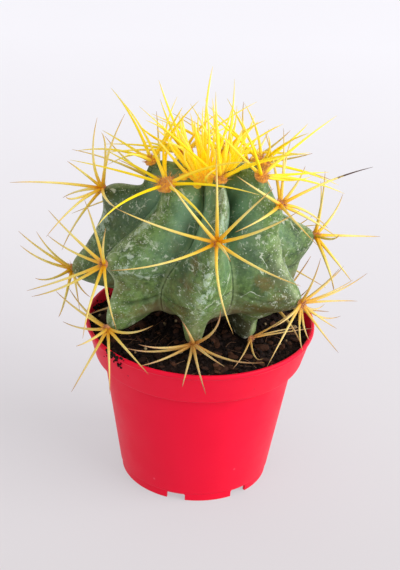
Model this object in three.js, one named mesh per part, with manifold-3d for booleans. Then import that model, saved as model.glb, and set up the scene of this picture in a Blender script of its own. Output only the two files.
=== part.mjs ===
// Young barrel cactus in a small plastic nursery pot.
// Millimetres, +Z up. The origin is the centre of the pot's foot, on the surface it stands on.
// Azimuths are in degrees: 0 faces the front (-Y) and 90 the right (+X).
// The cactus is measured from its own centre, by azimuth and by latitude above the horizontal.

import * as THREE from 'three';
import { mergeVertices } from 'three/addons/utils/BufferGeometryUtils.js';
import Module from 'manifold-3d';

const wasm = await Module();
wasm.setup();

// Pot
const potHeight = 67;
const rimRadius = 45;
const bandHeight = 14.3;
const bandFootRadius = 40.9;
const shoulderRadius = 37.7;
const footRadius = 29.2;
const footRingHeight = 3.4;
const potWall = 1.2;
const floorTop = 5.2;
// The foot stays whole at the front left, where a seventh notch would come
const notchCount = 6;
const notchTurn = -12.7;
const notchSpacing = 51.4;
const notchWidth = 7.4;
const notchHeight = 3;
const drainHoleRadius = 3.2;
const drainHoleRing = 17;
const drainHoleCount = 6;
const potSides = 40;

// Potting mix: its height by the distance from the middle, mounded under the plant
const soilAtWall = 62.6;
const soilMound = [[0, 70], [9, 69.2], [16, 66.6], [25, 65], [36, 64], [43, soilAtWall], [60, soilAtWall]];
const soilSides = 32;
const soilRings = 7;

// Room between pieces that touch
const seatGap = 0.3;

// Cactus body: heights and radii from its centre, which is above the middle of the pot
const bodyCentreHeight = 97;
const crownRadius = 31;
const undersideRadius = 19;
const crestRounding = 0.16;
const flankPower = 1.15;
const footWidth = 0.36;
const footSquareness = 7;
const rootRadius = 7;
const rootBottom = 50;
const columnsPerRib = 8;
const bodyRows = 34;

// How deep the furrows between the ribs lie, as latitude and radius
const furrow = [
  [90, 30.8], [75, 30.8], [62, 30], [50, 28.2], [38, 27.4], [26, 27.2], [12, 27.6],
  [0, 28.4], [-15, 29.2], [-28, 29.4], [-38, 28.2], [-48, 23.4], [-60, 19], [-90, 17],
];

// Ribs from the front around to the right, each from the crown down. An areole is
// [latitude, radius, azimuth] and, where its own spines are seen, a [clock, spread, reach, swing] for
// each: the clock goes around the areole from the top of the rib, the spread is the angle to its outward
// line, the reach is a share of the usual length and the swing how far its middle bows along the clock.
// A hollow of the crest between two areoles is [latitude, radius].
const ribs = [
  {
    name: 'front',
    areoles: [
      [67, 39.5, 19, [
        [76, 93, 0.98, -1.2], [20, 64, 0.97, 1], [-31, 16, 0.91, -1], [118, 54, 0.94, -3],
        [-52, 62, 0.98, -1], [-1, 90, 0.98, 1.2],
      ]],
      [30, 44, 7, [
        [-4, 54, 0.94, 0.1], [-46, 48, 0.96, -0.8], [-72, 81, 1.03, -1.5], [-105, 83, 1.04, -2.5],
        [49, 37, 0.94, -0.3], [74, 49, 0.94, 1.8], [124, 61, 0.96, 1.5], [175, 65, 0.98, 2.3],
        [177, 19, 0.9, -0.3],
      ]],
      [-49, 36.8, -5, [
        [-74, 64, 1.02, -2.4], [-58, 54, 0.97, -1.6], [-80, 44, 0.96, -1.1], [-7, 10, 1.07, 0],
        [73, 16, 1.1, -2.4], [-7, 59, 1, 0.7], [15, 81, 1.01, 3], [86, 72, 1.04, 2.6], [54, 38, 1, -0.8],
      ]],
    ],
    hollows: [[50, 42], [10, 38.8], [-12, 36.2], [-32, 34.6]],
    share: [[-90, 1], [-20, 0.85], [10, 0.6], [30, 0.4], [60, 0.4], [90, 0.6]],
  },
  {
    name: 'front_right',
    areoles: [
      [57, 45.9, 52, [
        [87, 65, 0.97, -0.4], [119, 97, 0.98, -1.4], [102, 99, 0.98, 0.9], [102, 104, 0.78, 2.7],
        [-58, 40, 0.93, -3], [-20, 76, 0.8, -1.5],
      ]],
      [41.3, 43.2, 57, [
        [44, 101, 0.95, -0.1], [52, 94, 0.98, -0.2], [61, 98, 0.99, -1.7], [77, 100, 0.87, 0.6],
        [101, 65, 1.03, -1.1], [128, 103, 0.89, -0.2], [127, 100, 0.7, -2], [-130, 54, 0.93, 3.7],
        [-90, 78, 1.01, -0.9], [-64, 65, 0.99, -1.6],
      ]],
      [-10, 45.2, 56, [
        [86, 92, 0.99, 0], [89, 95, 0.99, -0.3], [84, 73, 1.01, 1.3], [94, 84, 1, 0.3], [107, 77, 1, -0.8],
        [117, 100, 0.99, 2], [121, 86, 0.99, 2.6], [130, 85, 0.99, 0.5], [146, 75, 1, 0.8],
        [153, 92, 0.72, 2.1], [174, 86, 0.65, 2.6], [-111, 80, 0.99, 2.1], [-79, 77, 1, -0.3],
        [-22, 67, 0.99, -0.5],
      ]],
      [-50, 38.2, 52, [
        [104, 70, 0.95, -1.5], [128, 62, 0.8, 1], [-60, 50, 1, -3], [-88, 66, 0.95, 0],
        [37, 67, 1.02, 2], [83, 60, 0.94, -1],
      ]],
    ],
    hollows: [[50, 42.5], [26, 36.3], [14, 35.8], [7, 36.6], [-3, 41.3], [-24, 37.6], [-38, 34]],
    share: [[-90, 1], [34, 1], [58, 0.45], [90, 0.45]],
  },
  {
    name: 'right',
    areoles: [
      [58, 40, 108, [
        [91, 76, 1, 1.2], [80, 78, 1, -1.6], [2, 76, 0.8, 1], [44, 78, 0.75, -1.5], [134, 78, 0.8, 1.5],
        [178, 80, 0.85, -1], [-108, 74, 1, 1], [-62, 68, 0.9, -1.5], [150, 34, 0.6, 1],
      ]],
      [4.5, 43.8, 103, [
        [138, 37, 1.04, 0.3], [-64, 85, 0.99, -1.9], [-23, 81, 1.01, 0.9], [92, 56, 1, 1.2],
        [160, 67, 1.02, 3.5], [165, 80, 0.96, 0.9], [81, 70, 1, 0.9], [-100, 94, 0.98, -2.4],
      ]],
      [-42, 38, 100],
    ],
    hollows: [[45, 35], [25, 33.2], [16, 36.8], [-4, 41], [-12, 38.9], [-21, 39.2], [-32, 36]],
  },
  {
    name: 'back_right',
    areoles: [
      [61, 37, 158, [
        [45, 76, 0.85, 1], [0, 72, 0.85, -1], [-45, 72, 0.9, 1.5], [-100, 78, 0.75, -2], [-135, 78, 0.8, 1],
        [178, 80, 0.85, -1], [136, 78, 0.85, -1.5], [95, 76, 0.85, 1.5], [160, 30, 0.6, 1],
      ]],
      [30, 43, 155, [
        [2, 76, 0.8, 1.5], [44, 74, 0.85, -1], [72, 78, 0.95, 1.5], [112, 76, 0.9, -1], [178, 74, 1, 1],
        [-112, 76, 0.9, 1.5], [-72, 78, 0.75, -2], [-44, 76, 0.75, -1], [165, 26, 0.7, 1],
      ]],
      [-22, 46, 153],
    ],
    hollows: [[47, 34.5], [10, 37.5], [-40, 34]],
  },
  {
    name: 'back_left',
    areoles: [
      [59, 37.5, 208, [
        [47, 72, 1, 3.6], [39, 75, 1, -1.4], [-2, 72, 0.85, 1], [-46, 72, 0.85, 1.5], [92, 78, 0.8, -2],
        [140, 74, 0.85, 1], [178, 76, 0.9, -1.5], [-106, 76, 0.9, 1], [172, 24, 0.6, -1],
      ]],
      [12, 44, 206],
      [-40, 40, 208],
    ],
    hollows: [[42, 34], [-10, 39], [-27, 36]],
  },
  {
    name: 'left',
    areoles: [
      [58, 40, 260, [
        [-152, 74, 1.01, 2.4], [-135, 94, 1.03, 4.5], [-129, 75, 1, -0.4], [-113, 54, 1.03, 1.5],
        [78, 67, 1.07, 0], [42, 56, 1, -3], [0, 80, 0.94, -2],
      ]],
      [26, 44.8, 258, [
        [105, 42, 1.03, -0.6], [23, 67, 1.03, 3.2], [16, 76, 1.03, 2.1], [34, 71, 1, -4.3],
        [60, 65, 1.01, -0.3], [-139, 74, 1, 0.4], [77, 76, 0.99, 3.5], [100, 81, 1.1, -3],
        [-162, 92, 1.15, -1], [65, 103, 1.05, 1],
      ]],
      [-18, 55.2, 257, [
        [36, 67, 1.01, 0.4], [48, 71, 1.01, 1.3], [38, 82, 1, 0.8], [71, 84, 1, 2.1],
        [101, 97, 0.97, 3.6], [-150, 80, 0.98, 3.3], [-138, 86, 1.01, -1],
      ]],
      [-47, 38, 257],
    ],
    hollows: [[44, 34.9], [14, 41.5], [3, 43.5], [-6, 47], [-34, 40]],
  },
  {
    name: 'front_left',
    areoles: [
      [60.4, 35.2, 303, [
        [-95, 87, 0.99, -0.3], [-119, 75, 1.01, -0.2], [-75, 63, 1.03, 1.9], [53, 78, 1, -2.1],
        [63, 91, 1.02, -1.1], [96, 88, 1.01, -1], [155, 67, 1.01, 3.3], [-45, 77, 1, -2.7],
        [-35, 83, 1, -5],
      ]],
      [5, 43.3, 303, [
        [-77, 77, 1, 0.1], [-95, 81, 0.99, -0.9], [-68, 100, 0.98, 2.2], [41, 62, 0.99, 0.8],
        [-132, 64, 1.02, -0.8], [-136, 67, 1.01, -2], [128, 59, 0.99, 0.3], [109, 73, 1, 0.2],
      ]],
      [-28, 48, 306, [
        [-80, 81, 0.98, -0.3], [-85, 93, 1, -1.2], [-108, 81, 1, -1.1], [53, 44, 1.01, 0.6],
        [-170, 51, 0.97, -0.6], [129, 60, 0.86, -3.4], [97, 86, 1, -1.9], [64, 99, 1.01, 1.9],
      ]],
    ],
    hollows: [[44, 29.3], [26, 33], [-6, 39.4]],
    share: [[-90, 0.6], [-24, 0.6], [0, 0.74], [14, 0.86], [34, 1], [90, 1]],
  },
];

// Spines
const seed = 11;
const spineLength = 39;
const spineBase = 0.72;
const spineTip = 0.32;
const spineSides = 3;
const spineSteps = 3;
const spineLift = 0.03;
const radialAngles = [0, 45, 69, 111, 178, -109, -68, -43];
const radialReach = [0.9, 0.86, 1, 1.03, 1.06, 1.05, 1, 0.88];
const radialSpread = 72;
const centralSpread = 24;
const cushionRadius = 3;
const clearance = 0.32;

// Crown tuft, and the [heading, lean, length, swing] of the spines of it that stand out
const tuftSpines = 32;
const tuftRadius = 9;
const tuftLength = 31;
const tuftLean = 38;
const tallSpines = [
  [182, 19, 38.5, 1.7], [228, 36, 37, 1.2], [9, 21, 37, 1.5], [125, 47, 30, 3.9],
];
const woolRadius = 10.6;
const woolHeight = 3.4;

const rad = THREE.MathUtils.degToRad;
const deg = THREE.MathUtils.radToDeg;

const finish = {
  pot: new THREE.MeshStandardMaterial({ color: 0xe01a3e, roughness: 0.42, metalness: 0 }),
  soil: new THREE.MeshStandardMaterial({ color: 0x2c1c18, roughness: 0.98, metalness: 0 }),
  skin: new THREE.MeshStandardMaterial({ color: 0x61794f, roughness: 0.62, metalness: 0 }),
  spine: new THREE.MeshStandardMaterial({ color: 0xe9b944, roughness: 0.5, metalness: 0 }),
  youngSpine: new THREE.MeshStandardMaterial({ color: 0xf2c811, roughness: 0.45, metalness: 0 }),
};

// A repeatable run of numbers between 0 and 1
function seededRandom(start) {
  let state = start;
  return () => {
    state = (state * 1664525 + 1013904223) % 4294967296;
    return state / 4294967296;
  };
}

// A curve through sorted points that never overshoots them
function throughPoints(points) {
  const sorted = [...points].sort((a, b) => a[0] - b[0]);
  const x = sorted.map((p) => p[0]);
  const y = sorted.map((p) => p[1]);
  const last = x.length - 1;
  const step = (i) => x[i + 1] - x[i];
  const rise = (i) => (y[i + 1] - y[i]) / step(i);
  const slope = x.map((_, i) => {
    if (i === 0 || i === last || rise(i - 1) * rise(i) <= 0) return 0;
    const a = 2 * step(i) + step(i - 1);
    const b = step(i) + 2 * step(i - 1);
    return (a + b) / (a / rise(i - 1) + b / rise(i));
  });
  return (value) => {
    const at = Math.min(Math.max(value, x[0]), x[last]);
    let i = 0;
    while (i < last - 1 && at >= x[i + 1]) i += 1;
    const h = step(i);
    const t = (at - x[i]) / h;
    return (2 * t ** 3 - 3 * t ** 2 + 1) * y[i] + (t ** 3 - 2 * t ** 2 + t) * h * slope[i]
      + (3 * t ** 2 - 2 * t ** 3) * y[i + 1] + (t ** 3 - t ** 2) * h * slope[i + 1];
  };
}

// Crest radius, crest azimuth and width share of every rib, as curves over the latitude
const furrowRadius = throughPoints(furrow);
const ribCurves = ribs.map((rib) => {
  const { areoles, hollows } = rib;
  const lowest = areoles[areoles.length - 1];
  const radii = areoles.map(([lat, radius]) => [lat, radius]);
  return {
    radius: throughPoints([
      [90, crownRadius], ...radii, ...hollows, [lowest[0] - 14, 27.5], [-90, undersideRadius],
    ]),
    azimuth: throughPoints([
      [90, areoles[0][2]], ...areoles.map(([lat, , az]) => [lat, az]), [-90, lowest[2]],
    ]),
    share: throughPoints(rib.share ?? [[-90, 1], [90, 1]]),
  };
});

const around = (angle) => ((angle % 360) + 360) % 360;

// The room from one crest to the next at a latitude, and where the furrow lies in it
function roomAfter(rib, lat) {
  const a = ribCurves[rib];
  const b = ribCurves[(rib + 1) % ribs.length];
  const from = a.azimuth(lat);
  const gap = around(b.azimuth(lat) - from);
  const furrowAt = gap * a.share(lat) / (a.share(lat) + b.share(lat));
  return { a, b, from, gap, furrowAt };
}

// How far the skin is from the body's centre, for a part of the way from crest (0) to furrow (1).
// Flanks are almost flat; low down each rib narrows to a blunt foot.
function skinRadius(crest, way, lat) {
  const c = crestRounding;
  const flank = Math.max(1 - (Math.hypot(way, c) - c) / (Math.hypot(1, c) - c), 0) ** flankPower;
  const foot = 1 / (1 + (way / footWidth) ** footSquareness);
  const low = THREE.MathUtils.smoothstep(-lat, 22, 38);
  const deep = furrowRadius(lat);
  return deep + (crest - deep) * (flank + (foot - flank) * low);
}

function bodyRadius(azimuth, lat) {
  for (let rib = 0; rib < ribs.length; rib += 1) {
    const { a, b, from, gap, furrowAt } = roomAfter(rib, lat);
    const past = around(azimuth - from);
    if (past < gap) {
      return past < furrowAt
        ? skinRadius(a.radius(lat), past / furrowAt, lat)
        : skinRadius(b.radius(lat), (gap - past) / (gap - furrowAt), lat);
    }
  }
  return furrowRadius(lat);
}

function fromCentre(azimuth, lat, radius) {
  const a = rad(azimuth);
  const l = rad(lat);
  return new THREE.Vector3(
    radius * Math.cos(l) * Math.sin(a),
    -radius * Math.cos(l) * Math.cos(a),
    bodyCentreHeight + radius * Math.sin(l),
  );
}

// How far outside the skin a point is
function outsideBody(point) {
  const flat = Math.hypot(point.x, point.y);
  const up = point.z - bodyCentreHeight;
  const lat = deg(Math.atan2(up, flat));
  const azimuth = deg(Math.atan2(point.x, -point.y));
  return Math.hypot(flat, up) - bodyRadius(azimuth, lat);
}

const soilProfile = throughPoints(soilMound);

function soilHeight(x, y) {
  const lumps = Math.sin(x * 0.31 + 1) * Math.cos(y * 0.27) + 0.6 * Math.sin(x * 0.13 - y * 0.45);
  return soilProfile(Math.hypot(x, y)) + 0.35 * lumps;
}

// Solids for fusing and cutting
function toSolid(geometry) {
  const clean = geometry.clone();
  clean.deleteAttribute('normal');
  clean.deleteAttribute('uv');
  const merged = mergeVertices(clean, 1e-4);
  return new wasm.Manifold(new wasm.Mesh({
    numProp: 3,
    vertProperties: new Float32Array(merged.attributes.position.array),
    triVerts: new Uint32Array(merged.index.array),
  }));
}

function toGeometry(solid) {
  const { vertProperties, triVerts, numProp } = solid.getMesh();
  const geometry = new THREE.BufferGeometry();
  const xyz = [];
  for (let i = 0; i < vertProperties.length; i += numProp) {
    xyz.push(vertProperties[i], vertProperties[i + 1], vertProperties[i + 2]);
  }
  geometry.setAttribute('position', new THREE.Float32BufferAttribute(xyz, 3));
  geometry.setIndex([...triVerts]);
  geometry.computeVertexNormals();
  return geometry;
}

const fuse = (solids) => solids.reduce((whole, one) => whole.add(one));

function largestPiece(solid) {
  const pieces = solid.decompose();
  return pieces.reduce((best, one) => (one.volume() > best.volume() ? one : best));
}

// A turned shape from [radius, height] points that start and end on the axis or close on themselves
function turned(points, sides) {
  const profile = points.map(([r, z]) => new THREE.Vector2(r, z));
  const geometry = new THREE.LatheGeometry(profile, sides);
  geometry.rotateX(Math.PI / 2);
  return geometry;
}

function post(radius, bottom, top, sides) {
  const geometry = new THREE.CylinderGeometry(radius, radius, top - bottom, sides);
  geometry.rotateX(Math.PI / 2);
  geometry.translate(0, 0, (top + bottom) / 2);
  return geometry;
}

// Inside face of the pot, from the floor up; a positive inset gives the faces of the mix
function insideFaces(inset) {
  const ledge = potHeight - bandHeight;
  const r = (radius) => radius - potWall - inset;
  return [
    [r(footRadius + 0.6), floorTop + inset],
    [r(shoulderRadius), ledge - 1 + inset],
    [r(bandFootRadius), ledge + potWall + inset],
  ];
}

function makePot() {
  const ledge = potHeight - bandHeight;
  const [floorEdge, shoulderInside, bandInside] = insideFaces(0);
  const shell = toSolid(turned([
    [0, floorTop - potWall],
    [footRadius - potWall, floorTop - potWall],
    [footRadius - potWall, 0],
    [footRadius, 0],
    [footRadius + 0.25, footRingHeight],
    [footRadius + 0.75, footRingHeight + 0.35],
    [shoulderRadius, ledge - 0.9],
    [shoulderRadius + 0.3, ledge],
    [bandFootRadius - 0.7, ledge],
    [bandFootRadius, ledge + 0.8],
    [rimRadius - 0.8, potHeight - 2.2],
    [rimRadius, potHeight - 1.5],
    [rimRadius - 0.1, potHeight - 0.4],
    [rimRadius - 0.6, potHeight],
    [rimRadius - 1.3, potHeight - 0.2],
    bandInside,
    shoulderInside,
    floorEdge,
    [0, floorTop],
  ], potSides));
  const notches = [];
  for (let i = 0; i < notchCount; i += 1) {
    const notch = new THREE.BoxGeometry(notchWidth, 8, notchHeight * 2);
    notch.translate(0, -footRadius, 0);
    notch.rotateZ(rad(notchTurn + i * notchSpacing));
    notches.push(toSolid(notch));
  }
  const holes = [toSolid(post(drainHoleRadius, floorTop - 3, floorTop + 2, 10))];
  for (let i = 0; i < drainHoleCount; i += 1) {
    const hole = post(drainHoleRadius, floorTop - 3, floorTop + 2, 10);
    hole.translate(0, -drainHoleRing, 0);
    hole.rotateZ(rad((i * 360) / drainHoleCount));
    holes.push(toSolid(hole));
  }
  return shell.subtract(fuse(notches)).subtract(fuse(holes));
}

// Ribbed skin with a column on every crest and in every furrow, larger all over by grow
function ribbedSkin(grow) {
  const half = columnsPerRib / 2;
  const columns = columnsPerRib * ribs.length;
  const geometry = new THREE.SphereGeometry(1, columns, bodyRows);
  geometry.rotateX(Math.PI / 2);
  const { position, uv } = geometry.attributes;
  for (let i = 0; i < position.count; i += 1) {
    const column = (Math.round(uv.getX(i) * columns) + columns) % columns;
    const row = Math.round((1 - uv.getY(i)) * bodyRows);
    const lat = 90 - (180 * row) / bodyRows;
    const rib = Math.floor(column / columnsPerRib);
    const along = column % columnsPerRib;
    const { a, b, from, gap, furrowAt } = roomAfter(rib, lat);
    const way = (along <= half ? along / half : (columnsPerRib - along) / half) ** 1.4;
    const azimuth = along <= half ? from + furrowAt * way : from + gap - (gap - furrowAt) * way;
    const crest = along <= half ? a.radius(lat) : b.radius(lat);
    const atPole = row === 0 || row === bodyRows;
    const radius = atPole ? bodyRadius(0, lat) : skinRadius(crest, way, lat);
    const point = fromCentre(azimuth, lat, radius + grow);
    if (atPole) point.setX(0).setY(0);
    position.setXYZ(i, point.x, point.y, point.z);
  }
  return toSolid(geometry);
}

function makeBody() {
  const root = toSolid(post(rootRadius, rootBottom, bodyCentreHeight - 12, 20));
  return ribbedSkin(0).add(root);
}

function makeSoil() {
  const [floorEdge, shoulderInside, bandInside] = insideFaces(seatGap);
  const slope = (rimRadius - 1.3 - seatGap - bandInside[0]) / (potHeight - bandInside[1]);
  const wall = bandInside[0] + slope * (soilAtWall - 1 - bandInside[1]);
  const sides = [[0, floorEdge[1]], floorEdge, shoulderInside, bandInside];
  const rings = [];
  for (let i = 0; i <= soilRings; i += 1) rings.push([wall * (1 - i / soilRings), soilAtWall]);
  const geometry = turned([...sides, ...rings], soilSides);
  const { position } = geometry.attributes;
  const perSide = sides.length + rings.length;
  for (let i = 0; i < position.count; i += 1) {
    if (i % perSide >= sides.length) {
      position.setZ(i, soilHeight(position.getX(i), position.getY(i)));
    }
  }
  const rootHole = toSolid(post(rootRadius + seatGap, rootBottom - seatGap, potHeight + 12, 20));
  return toSolid(geometry).subtract(rootHole).subtract(ribbedSkin(seatGap + 0.1));
}

// A spine: a curved, tapering prism from its root to its tip
function spineCurve(root, tip, bow) {
  const middle = root.clone().lerp(tip, 0.5).addScaledVector(bow, 2);
  return new THREE.QuadraticBezierCurve3(root, middle, tip);
}

function spineRadius(t, base) {
  return spineTip + (base - spineTip) * (1 - t) ** 0.8;
}

function makeSpine({ root, tip, bow, base }) {
  const geometry = new THREE.CylinderGeometry(1, 1, 1, spineSides, spineSteps);
  const curve = spineCurve(root, tip, bow);
  const { position } = geometry.attributes;
  const side = new THREE.Vector3();
  const other = new THREE.Vector3();
  for (let i = 0; i < position.count; i += 1) {
    const t = position.getY(i) + 0.5;
    const tangent = curve.getTangent(t);
    side.set(-tangent.y, tangent.x, 0);
    if (side.lengthSq() < 1e-4) side.set(1, 0, 0);
    side.normalize();
    other.crossVectors(tangent, side);
    const r = spineRadius(t, base);
    const point = curve.getPoint(t)
      .addScaledVector(side, position.getX(i) * r)
      .addScaledVector(other, -position.getZ(i) * r);
    position.setXYZ(i, point.x, point.y, point.z);
  }
  return toSolid(geometry);
}

// What a new spine has to keep clear of
const placedSpines = [];
const cushions = [];

function samplePoints(spine) {
  const curve = spineCurve(spine.root, spine.tip, spine.bow);
  const points = [];
  for (let i = 0; i <= 12; i += 1) {
    const t = i / 12;
    points.push({ t, at: curve.getPoint(t), radius: spineRadius(t, spine.base) });
  }
  return points;
}

function clearOfRest({ t, at, radius }) {
  const room = radius + clearance;
  if (t > 0.12 && outsideBody(at) < room + 0.3) return false;
  const flat = Math.hypot(at.x, at.y);
  if (flat < rimRadius && at.z < soilHeight(at.x, at.y) + room + 0.3) return false;
  return flat < rimRadius - 3 - room || flat > rimRadius + room || at.z > potHeight + room;
}

function distanceBetween(a, b, c, d) {
  const u = b.clone().sub(a);
  const v = d.clone().sub(c);
  const w = a.clone().sub(c);
  const uu = u.dot(u);
  const uv = u.dot(v);
  const vv = v.dot(v);
  const uw = u.dot(w);
  const vw = v.dot(w);
  const clamp = THREE.MathUtils.clamp;
  let s = clamp((uv * vw - vv * uw) / Math.max(uu * vv - uv * uv, 1e-9), 0, 1);
  const t = clamp((uv * s + vw) / vv, 0, 1);
  s = clamp((uv * t - uw) / uu, 0, 1);
  return a.clone().addScaledVector(u, s).distanceTo(c.clone().addScaledVector(v, t));
}

function clearOfSpines(points, cluster) {
  for (const cushion of cushions) {
    if (cushion.cluster !== cluster) {
      for (const { at, radius } of points) {
        if (at.distanceTo(cushion.at) < cushion.radius + radius + clearance) return false;
      }
    }
  }
  for (const other of placedSpines) {
    if (other.cluster !== cluster && other.middle.distanceTo(points[6].at) < 48) {
      for (let i = 0; i < 12; i += 2) {
        for (let j = 0; j < 12; j += 2) {
          const a = points[i];
          const b = other.points[j];
          const room = a.radius + b.radius + clearance;
          if (distanceBetween(a.at, points[i + 2].at, b.at, other.points[j + 2].at) < room) return false;
        }
      }
    }
  }
  return true;
}

// Tries a spine where the rule puts it, then ever further around, until it is clear of the rest
function placeSpine(cluster, wanted, random) {
  let spine = null;
  for (let attempt = 0; attempt < 160; attempt += 1) {
    const reach = attempt * 0.35;
    spine = wanted((random() - 0.5) * reach, (random() - 0.5) * reach, (random() - 0.5) * 0.004 * reach);
    const points = samplePoints(spine);
    if (points.every(clearOfRest) && clearOfSpines(points, cluster)) {
      placedSpines.push({ cluster, points, middle: points[6].at });
      return spine;
    }
  }
  return null;
}

// The areole's own directions: out of the felt, up along the rib, and across it
function areoleFrame([lat, radius, azimuth]) {
  const skin = fromCentre(azimuth, lat, radius);
  const lift = rad(Math.max(lat * 0.9 + 8, -12));
  const a = rad(azimuth);
  const out = new THREE.Vector3(Math.cos(lift) * Math.sin(a), -Math.cos(lift) * Math.cos(a), Math.sin(lift));
  const across = new THREE.Vector3(Math.cos(a), Math.sin(a), 0);
  const up = new THREE.Vector3().crossVectors(across, out).negate();
  if (up.z < 0) up.negate();
  return { skin, out, across, up };
}

function makeCluster(rib, areole, number) {
  const [lat, , , known] = areole;
  const cluster = `spines_${rib.name}_${number + 1}`;
  const random = seededRandom(seed + 97 * cushions.length);
  const { skin, out, across, up } = areoleFrame(areole);
  const high = THREE.MathUtils.clamp((lat + 45) / 90, 0, 1);
  const length = spineLength * (0.72 + 0.33 * high);
  const young = THREE.MathUtils.smoothstep(lat, 42, 60);
  const size = cushionRadius * (0.85 + 0.15 * high + 0.35 * young);
  const centre = skin.clone().addScaledVector(out, 0.5);
  cushions.push({ cluster, at: centre, radius: size });
  return { cluster, random, centre, skin, out, across, up, length, size, known };
}

// A spine of an areole, bowed along the clock by its swing and a little outwards
function spineFrom({ centre, out, across, up }, clock, spread, length, swing) {
  const c = rad(clock);
  const s = rad(spread);
  const sideways = across.clone().multiplyScalar(Math.sin(c)).addScaledVector(up, Math.cos(c));
  const direction = out.clone().multiplyScalar(Math.cos(s)).addScaledVector(sideways, Math.sin(s));
  const tip = centre.clone().addScaledVector(direction, length);
  const bow = across.clone().multiplyScalar(Math.cos(c)).addScaledVector(up, -Math.sin(c))
    .multiplyScalar(swing).addScaledVector(out, spineLift * length);
  return { root: centre, tip, bow, base: spineBase };
}

// A fan of radial spines in pairs and one central spine
function fanOfSpines(random) {
  const radial = radialAngles.map((clock, i) => [
    clock + (random() - 0.5) * 16,
    radialSpread + (random() - 0.5) * 16,
    radialReach[i] * (0.94 + 0.12 * random()),
    (random() - 0.5) * 5,
  ]);
  const central = [172 + (random() - 0.5) * 40, centralSpread + (random() - 0.5) * 14, 0.86, 1];
  return [...radial, central];
}

// The spines of an areole: the ones that are seen, or a fan by the rule
function clusterSpines(frame) {
  const { cluster, random, length, known } = frame;
  const found = (known ?? fanOfSpines(random)).map(([clock, spread, reach, swing]) => (
    placeSpine(cluster, (da, ds, dl) => (
      spineFrom(frame, clock + da * 1.4, spread + ds, length * reach * (1 + dl), swing)
    ), random)
  ));
  return found.filter(Boolean);
}

function makeCushion({ centre, out, size }) {
  const geometry = new THREE.SphereGeometry(1, 6, 4);
  geometry.rotateX(Math.PI / 2);
  geometry.scale(size, size, size * 0.62);
  const turnTo = new THREE.Quaternion().setFromUnitVectors(new THREE.Vector3(0, 0, 1), out);
  geometry.applyQuaternion(turnTo);
  geometry.translate(centre.x, centre.y, centre.z);
  return toSolid(geometry);
}

// A spine of the crown tuft, rooted in the wool on the side that it leans to
function tuftSpine(centre, heading, lean, length, rootedAt, swing, lift) {
  const a = rad(heading);
  const tilt = rad(lean);
  const away = new THREE.Vector3(Math.sin(a), -Math.cos(a), 0);
  const side = new THREE.Vector3(Math.cos(a), Math.sin(a), 0);
  const root = centre.clone().addScaledVector(away, rootedAt);
  const tip = root.clone().addScaledVector(away, Math.sin(tilt) * length);
  tip.z += Math.cos(tilt) * length;
  const bow = side.multiplyScalar(swing).addScaledVector(away, lift);
  return { root, tip, bow, base: spineBase * 0.92 };
}

// Young spines stand up from the wool in the middle of the crown, leaning out towards its edge
function tuftSpinesList(cluster, centre) {
  const random = seededRandom(seed + 5);
  const wanted = tallSpines.map(([heading, lean, length, swing]) => [heading, lean, length, 5, swing, 0]);
  for (let i = wanted.length; i < tuftSpines; i += 1) {
    const share = Math.sqrt((i + 0.5) / tuftSpines);
    wanted.push([
      i * 137.508 + (random() - 0.5) * 50,
      4 + tuftLean * share + (random() - 0.5) * 18,
      (tuftLength - 9 * share) * (0.78 + 0.28 * random()),
      tuftRadius * share * 0.8,
      (random() - 0.5) * 7,
      (random() - 0.4) * 3,
    ]);
  }
  const found = wanted.map(([heading, lean, length, rootedAt, swing, lift]) => (
    placeSpine(cluster, (da, ds, dl) => (
      tuftSpine(centre, heading + da * 2, lean + ds, length * (1 + dl), rootedAt, swing, lift)
    ), random)
  ));
  return found.filter(Boolean);
}

const cactus = new THREE.Group();
cactus.name = 'potted_round_cactus';

function addPart(name, solid, material) {
  const mesh = new THREE.Mesh(toGeometry(solid), material);
  mesh.name = name;
  cactus.add(mesh);
}

addPart('pot', makePot(), finish.pot);
addPart('soil', largestPiece(makeSoil()), finish.soil);
addPart('cactus_body', makeBody(), finish.skin);

const bodyRoom = ribbedSkin(seatGap + 0.05);
const clusters = ribs.flatMap((rib) => rib.areoles.map((areole, i) => makeCluster(rib, areole, i)));
const tuftCentre = new THREE.Vector3(0, 0, bodyCentreHeight + crownRadius + 0.6);
cushions.push({ cluster: 'crown_tuft', at: tuftCentre, radius: tuftRadius + 1 });
// The nearest to the front find their places first
const frontFirst = [...clusters].sort((a, b) => a.centre.y - b.centre.y);
for (const frame of frontFirst) {
  const spines = clusterSpines(frame).map(makeSpine);
  const whole = fuse([makeCushion(frame), ...spines]).subtract(bodyRoom);
  addPart(frame.cluster, largestPiece(whole), finish.spine);
}
const wool = new THREE.SphereGeometry(1, 14, 7);
wool.rotateX(Math.PI / 2);
wool.scale(woolRadius, woolRadius, woolHeight);
wool.translate(tuftCentre.x, tuftCentre.y, tuftCentre.z);
const tuft = tuftSpinesList('crown_tuft', tuftCentre).map(makeSpine);
addPart('crown_tuft', largestPiece(fuse([toSolid(wool), ...tuft]).subtract(bodyRoom)), finish.youngSpine);

export default cactus;
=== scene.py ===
import math
import random
from functools import partial

import bpy
import numpy as np
from mathutils import Matrix, Vector, noise


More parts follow.
